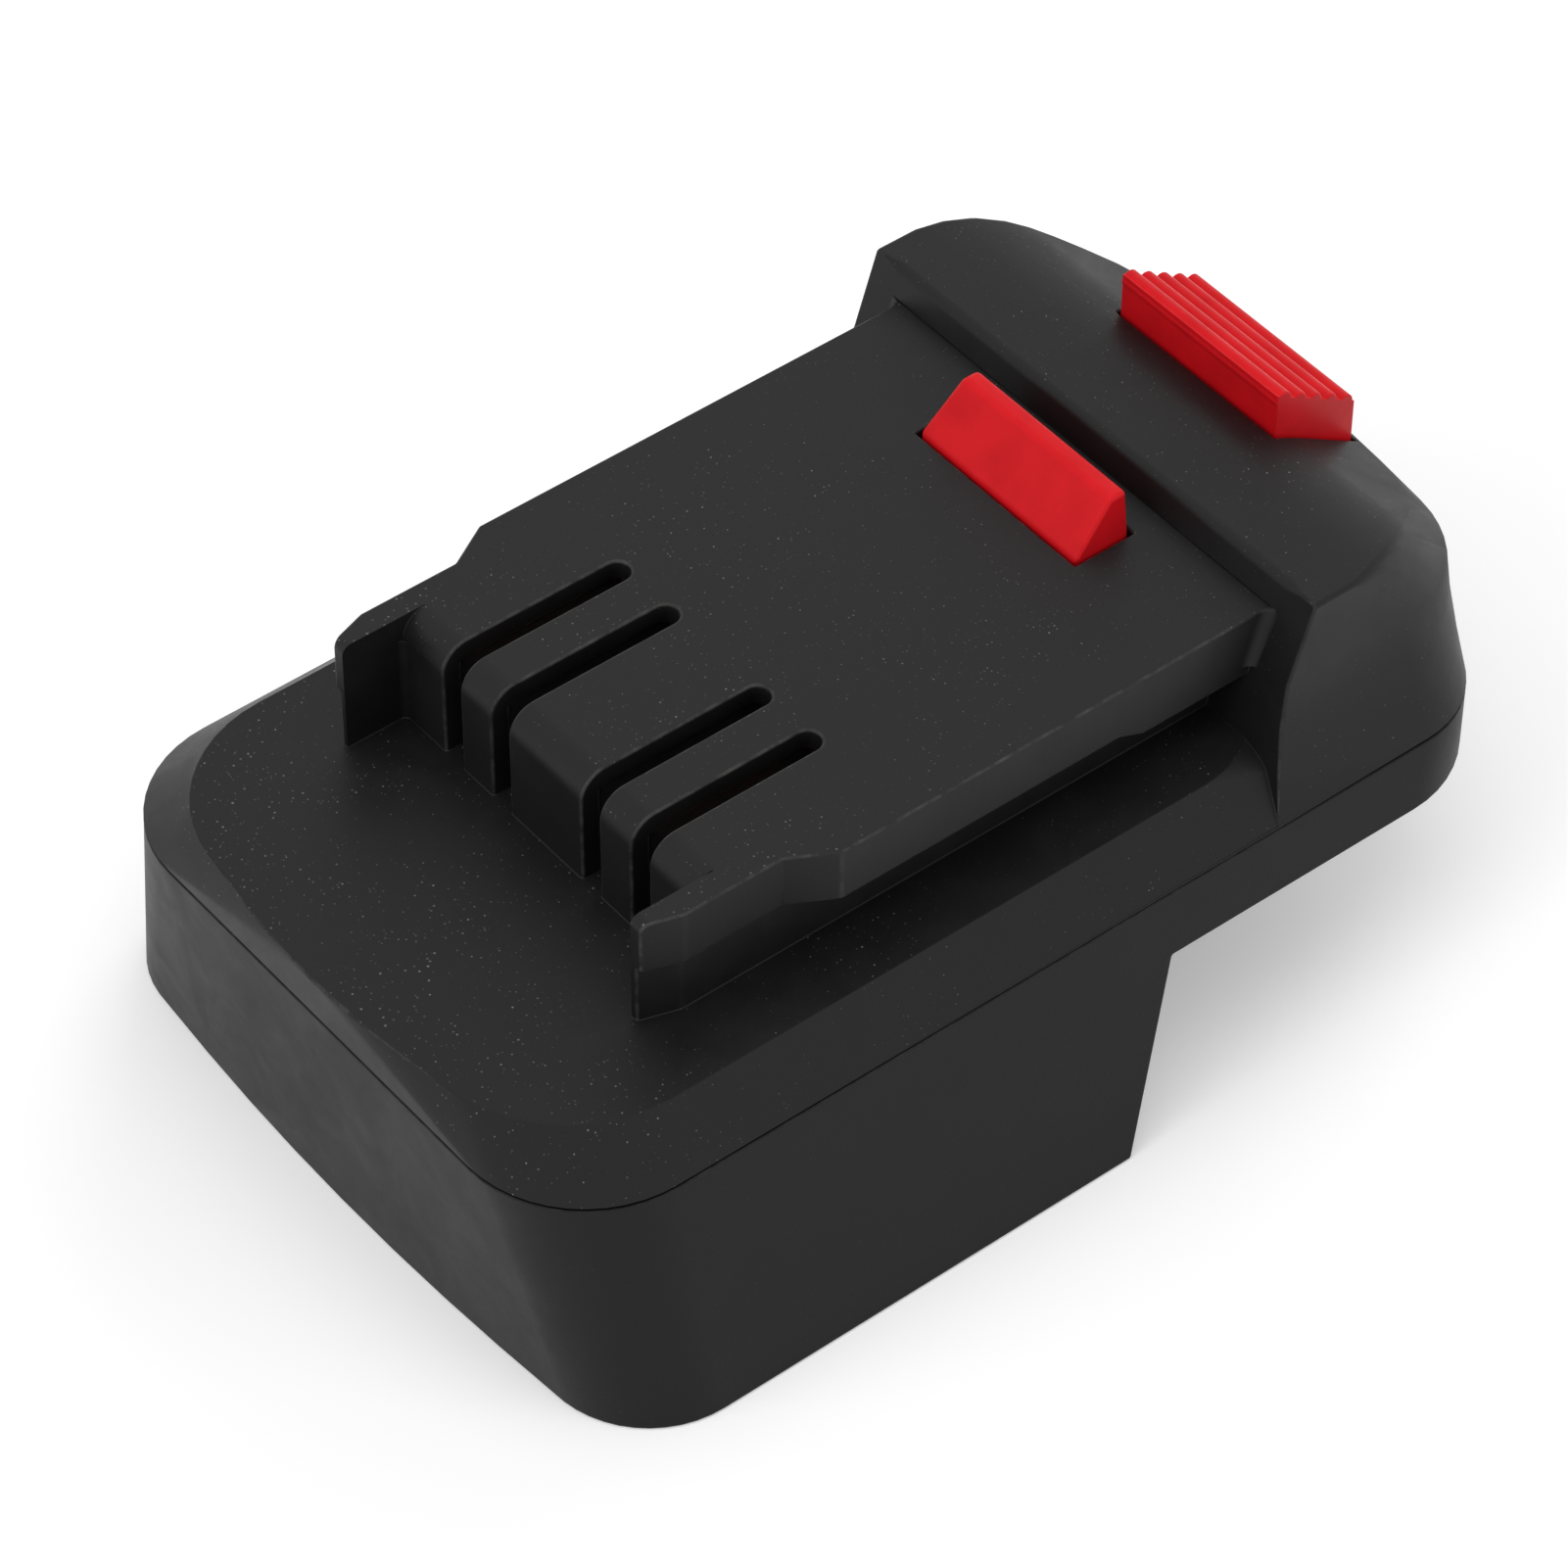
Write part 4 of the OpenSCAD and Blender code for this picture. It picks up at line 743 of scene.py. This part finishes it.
class ADAPTER_OT_contacts(bpy.types.Operator):
    """Forked clips behind the slots and the flat blades in the bay"""

    bl_idname = "adapter.contacts"
    bl_label = "Clips and blades"

    def execute(self, context):
        sizes, finish = context.scene.adapter_sizes, context.scene.adapter_finishes
        copper = bright_metal("Copper alloy, rolled and stamped", finish.copper, 0.12, 0.2, 0.4)

        def radius_of(at, edge, convex):
            return sizes.sheet_edge

        for kind in ("clip", "blade"):
            for pole in ("positive", "negative", "signal_left", "signal_right"):
                rounded(f"{kind}_{pole}", f"{kind}_sheet_{pole}", radius_of, copper,
                        "contact_copper", "adapter", segments=2)
        return {"FINISHED"}


class ADAPTER_OT_leads(bpy.types.Operator):
    """Four insulated leads from the blades to the clips, with bare tinned ends"""

    bl_idname = "adapter.leads"
    bl_label = "Leads"

    # Pole, slot and colour, sideways slack and radius in mm
    LEADS = (("positive", "wire_red", 2.2, 1.2), ("negative", "wire_black", -2.2, 1.2),
             ("signal_left", "wire_yellow", 1.6, 0.65), ("signal_right", "wire_white", -1.6, 0.65))
    # Stations along a lead as shares of its run, with the share of its sideways slack at each
    STATIONS = ((0.0, 0.0), (0.12, 0.0), (0.4, 1.0), (0.7, 1.0), (0.9, 0.0), (1.0, 0.0))
    # A lead stays at the blade's height up to the first share and is at the clip's after the last
    LEVEL_START, LEVEL_END = 0.3, 0.5
    SIDES, RUN_STEPS = 16, 8
    # Steps that are stripped back to the strand at each end, and the strand's share of the radius
    BARE_STEPS, STRAND_SHARE = 4, 0.62

    def route(self, start, end, slack):
        """Points of a smooth curve through the stations."""
        stops = []
        for share, out in self.STATIONS:
            y = (start.y if share < 0.5 else end.y) + out * slack
            z = (start.z if share < self.LEVEL_START else end.z if share > self.LEVEL_END
                 else (start.z + end.z) / 2)
            stops.append(Vector((start.x + share * (end.x - start.x), y, z)))
        path = []
        for i in range(len(stops) - 1):
            a, b, c, d = (stops[min(max(i + k, 0), len(stops) - 1)] for k in (-1, 0, 1, 2))
            for k in range(self.RUN_STEPS):
                t = k / self.RUN_STEPS
                path.append(0.5 * (2 * b + (c - a) * t + (2 * a - 5 * b + 4 * c - d) * t * t
                                   + (3 * b - a - 3 * c + d) * t ** 3))
        return path + [stops[-1]]

    def execute(self, context):
        finish = context.scene.adapter_finishes
        tin = bright_metal("Copper strand, tinned", finish.steel, 0.1, 0.3, 0.5)
        for pole, slot, slack_mm, radius_mm in self.LEADS:
            blade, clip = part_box("blade_" + pole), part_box("clip_" + pole)
            low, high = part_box("wire_" + pole)
            radius = radius_mm * MM
            path = self.route(
                Vector((low.x, (blade[0].y + blade[1].y) / 2, high.z - radius)),
                Vector((high.x, (clip[0].y + clip[1].y) / 2, low.z + radius)), slack_mm * MM)
            verts, faces = tube(path, radius, self.SIDES)
            first_end, last_end = self.BARE_STEPS, len(path) - self.BARE_STEPS - 1
            bare = [int(f // self.SIDES < first_end or f // self.SIDES >= last_end)
                    for f in range(len(faces))]
            for i, point in enumerate(path):
                if i < first_end or i > last_end:
                    for k in range(i * self.SIDES, (i + 1) * self.SIDES):
                        verts[k] = point + (verts[k] - point) * self.STRAND_SHARE
            pvc = extruded_pvc("PVC extruded, " + slot.removeprefix("wire_"),
                               getattr(finish, slot))
            settle(new_piece("lead_" + pole, verts, faces, bare), [pvc, tin], slot, "adapter",
                   "wire_" + pole)
        return {"FINISHED"}


class ADAPTER_OT_screws(bpy.types.Operator):
    """Self-tapping pan-head screws with a cross recess and a cut thread"""

    bl_idname = "adapter.screws"
    bl_label = "Screws"

    SIDES, PITCH_STEPS = 36, 10
    # Height of the head, radius of the thread and length of the point, in mm
    HEAD, SHANK_RADIUS, POINT = 1.9, 1.45, 1.6
    # Steepness of the thread's flanks, and the point's curve and least share of the radius
    FLANK, POINT_CURVE, POINT_TIP = 2.2, 0.6, 0.12
    # Profile of the head as shares of its radius and height
    HEAD_RINGS = ((0.0, 0.0), (0.45, 0.02), (0.72, 0.1), (0.9, 0.3), (0.99, 0.6), (1.0, 0.82),
                  (0.97, 0.97), (0.9, 1.0))
    # Recess as shares: height of the head, then reach and width of a slot in head radii
    RECESS = ((-0.4, 0.62, 0.2), (0.62, 0.34, 0.1))
    # Corners of one level of a slot, and faces of the slot between its two levels
    CORNERS = ((-1, -1), (1, -1), (1, 1), (-1, 1))
    SLOT_FACES = ((3, 2, 1, 0), (4, 5, 6, 7), (0, 1, 5, 4), (1, 2, 6, 5), (2, 3, 7, 6),
                  (3, 0, 4, 7))

    def turned(self, head_r, total, sizes):
        """Points and faces of the head and the threaded shank, point up."""
        head, shank_r = self.HEAD * MM, self.SHANK_RADIUS * MM
        pitch, depth = sizes.thread_pitch, sizes.thread_depth
        rings = [(out * head_r, up * head) for out, up in self.HEAD_RINGS]
        rings.append((shank_r - depth, head))
        steps = int((total - head) / pitch * self.PITCH_STEPS)
        rings += [(None, head + (total - head) * i / steps) for i in range(1, steps + 1)]
        verts, faces = [], []
        for radius, up in rings:
            for k in range(self.SIDES):
                angle = 2 * math.pi * k / self.SIDES
                r = radius
                if r is None:
                    ridge = abs((up / pitch - k / self.SIDES) % 1 - 0.5) * 2
                    point = min(1.0, (total - up) / (self.POINT * MM))
                    r = shank_r - depth + depth * max(0.0, 1 - self.FLANK * ridge)
                    r *= max(self.POINT_TIP, point ** self.POINT_CURVE)
                verts.append(Vector((r * math.cos(angle), r * math.sin(angle), up)))
        for i in range(len(rings) - 1):
            for k in range(self.SIDES):
                a, b = i * self.SIDES + k, i * self.SIDES + (k + 1) % self.SIDES
                faces.append((a, b, b + self.SIDES, a + self.SIDES))
        faces.append(tuple((len(rings) - 1) * self.SIDES + k for k in range(self.SIDES)))
        return verts, faces

    def screw(self, name, low, high, points_up, sizes):
        """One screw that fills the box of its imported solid."""
        head_r = (high.x - low.x) / 2
        piece = new_piece(name, *self.turned(head_r, high.z - low.z, sizes))
        body = bmesh.new()
        body.from_mesh(piece.data)
        bmesh.ops.remove_doubles(body, verts=body.verts, dist=0.001 * MM)
        bmesh.ops.recalc_face_normals(body, faces=body.faces)
        body.to_mesh(piece.data)
        body.free()
        # The recess is two tapered slots that cross
        head = self.HEAD * MM
        for turn in (0, math.pi / 2):
            slot = []
            for up, reach, width in self.RECESS:
                for along, across in self.CORNERS:
                    x, y = along * reach * head_r, across * width * head_r
                    slot.append(Vector((x * math.cos(turn) - y * math.sin(turn),
                                        x * math.sin(turn) + y * math.cos(turn), up * head)))
            cutter = new_piece(name + ".recess", slot, self.SLOT_FACES)
            cut = piece.modifiers.new("Recess", "BOOLEAN")
            cut.operation, cut.object, cut.solver = "DIFFERENCE", cutter, "EXACT"
            shaped = as_built(piece)
            piece.modifiers.clear()
            piece.data = shaped
            bpy.data.objects.remove(cutter)
        place = Vector(((low.x + high.x) / 2, (low.y + high.y) / 2,
                        low.z if points_up else high.z))
        flip = Matrix.Identity(4) if points_up else Matrix.Rotation(math.pi, 4, "X")
        piece.data.transform(Matrix.Translation(place) @ flip)
        piece.data.shade_smooth()
        split = piece.modifiers.new("Crisp edges", "EDGE_SPLIT")
        split.split_angle = math.radians(40)
        return piece

    def execute(self, context):
        sizes, finish = context.scene.adapter_sizes, context.scene.adapter_finishes
        zinc = bright_metal("Steel, zinc plated", finish.steel, 0.15, 0.25, 0.42)
        for node, short, points_up in (("housing_screws", "housing_screw", True),
                                       ("contact_holder_screws", "holder_screw", False),
                                       ("terminal_block_screws", "terminal_screw", False)):
            for number, (low, high) in enumerate(islands(node), 1):
                settle(self.screw(f"{short}_{number}", low, high, points_up, sizes), zinc,
                       "screw_steel", "adapter", node)
        return {"FINISHED"}


class ADAPTER_OT_stage(bpy.types.Operator):
    """White paper floor, soft studio lamps, pale surroundings and the camera"""

    bl_idname = "adapter.stage"
    bl_label = "Stage"

    # Lamp name, place, side and power: broad soft boxes overhead and around the part
    LAMPS = (("overhead_box", (-0.2, -0.1, 1.1), 1.0, 5.0),
             ("rear_box", (0.9, 0.5, 0.75), 0.8, 3.5),
             ("right_box", (0.45, -1.0, 0.5), 0.8, 2.8),
             ("front_box", (-0.95, 0.1, 0.6), 0.8, 3.5))
    LAMP_AIM = Vector((0, 0, 0.02))
    # Half the floor's side in metres, and how far it lies below the part
    FLOOR_REACH, FLOOR_DROP = 3.0, 0.05 * MM

    def execute(self, context):
        scene = context.scene
        floor = new_piece("studio_floor", [
            Vector((x * self.FLOOR_REACH, y * self.FLOOR_REACH, -self.FLOOR_DROP))
            for x, y in ((-1, -1), (1, -1), (1, 1), (-1, 1))], [(0, 1, 2, 3)])
        floor.data.materials.append(studio_paper("Paper, matte white"))
        for name, place, side, power in self.LAMPS:
            lamp = bpy.data.lights.new(name, "AREA")
            lamp.shape, lamp.size, lamp.energy = "SQUARE", side, power
            holder = bpy.data.objects.new(name, lamp)
            holder.location = place
            holder.rotation_mode = "QUATERNION"
            aim = self.LAMP_AIM - Vector(place)
            holder.rotation_quaternion = aim.to_track_quat("-Z", "Y")
            # Gloss shows the white room and not the edges of the lamps
            holder.visible_glossy = False
            scene.collection.objects.link(holder)
        self.surroundings(scene)
        self.camera(scene)
        scene.view_settings.view_transform = "Standard"
        return {"FINISHED"}

    def surroundings(self, scene):
        """White room: plain level for light, white for the camera and for gloss."""
        world = bpy.data.worlds.new("White room")
        world.use_nodes = True
        scene.world = world
        tree = world.node_tree
        tree.nodes.clear()
        light, white = (add_node(tree, "ShaderNodeBackground", {
            "Color": (1, 1, 1, 1), "Strength": level}).outputs[0]
            for level in (ROOM_LIGHT, ROOM_SEEN))
        mixed = add_node(tree, "ShaderNodeMixShader", (seen_directly(tree), light, white))
        add_node(tree, "ShaderNodeOutputWorld", (mixed.outputs[0],))

    def camera(self, scene):
        """Camera at the photograph's viewing angle."""
        turn, lift, roll = map(math.radians, (VIEW_AZIMUTH, VIEW_ELEVATION, VIEW_ROLL))
        back = Vector((math.cos(lift) * math.sin(turn), -math.cos(lift) * math.cos(turn),
                       math.sin(lift)))
        right = Vector((0, 0, 1)).cross(back).normalized()
        up = back.cross(right)
        right, up = (right * math.cos(roll) + up * math.sin(roll),
                     up * math.cos(roll) - right * math.sin(roll))
        lens = bpy.data.cameras.new("Photo camera")
        lens.sensor_width, lens.lens = VIEW_SENSOR, VIEW_LENS
        lens.clip_start, lens.clip_end = 0.01, 20
        eye = bpy.data.objects.new("Photo camera", lens)
        place = VIEW_TARGET + back * VIEW_DISTANCE
        eye.matrix_world = Matrix((
            (right.x, up.x, back.x, place.x), (right.y, up.y, back.y, place.y),
            (right.z, up.z, back.z, place.z), (0, 0, 0, 1)))
        scene.collection.objects.link(eye)
        scene.camera = eye


OPERATORS = (ADAPTER_OT_stage, ADAPTER_OT_top_cover, ADAPTER_OT_lower_housing,
             ADAPTER_OT_release_latch, ADAPTER_OT_latch_springs, ADAPTER_OT_inserts,
             ADAPTER_OT_contacts, ADAPTER_OT_leads, ADAPTER_OT_screws)


class ADAPTER_PT_pieces(bpy.types.Panel):
    """Sizes, colours and pieces of the adapter"""

    bl_label = "Tool battery adapter"
    bl_space_type = "VIEW_3D"
    bl_region_type = "UI"
    bl_category = "Adapter"

    def draw(self, context):
        for group in (context.scene.adapter_sizes, context.scene.adapter_finishes):
            column = self.layout.column()
            for name in group.__annotations__:
                column.prop(group, name)
        for operator in OPERATORS:
            self.layout.operator(operator.bl_idname)


CLASSES = (AdapterSizes, AdapterFinishes, *OPERATORS, ADAPTER_PT_pieces)


def register():
    for entry in CLASSES:
        bpy.utils.register_class(entry)
    bpy.types.Scene.adapter_sizes = PointerProperty(type=AdapterSizes)
    bpy.types.Scene.adapter_finishes = PointerProperty(type=AdapterFinishes)


def unregister():
    del bpy.types.Scene.adapter_finishes
    del bpy.types.Scene.adapter_sizes
    for entry in reversed(CLASSES):
        bpy.utils.unregister_class(entry)


def main():
    register()
    for operator in OPERATORS:
        group, name = operator.bl_idname.split(".")
        getattr(getattr(bpy.ops, group), name)()


if __name__ == "__main__":
    main()
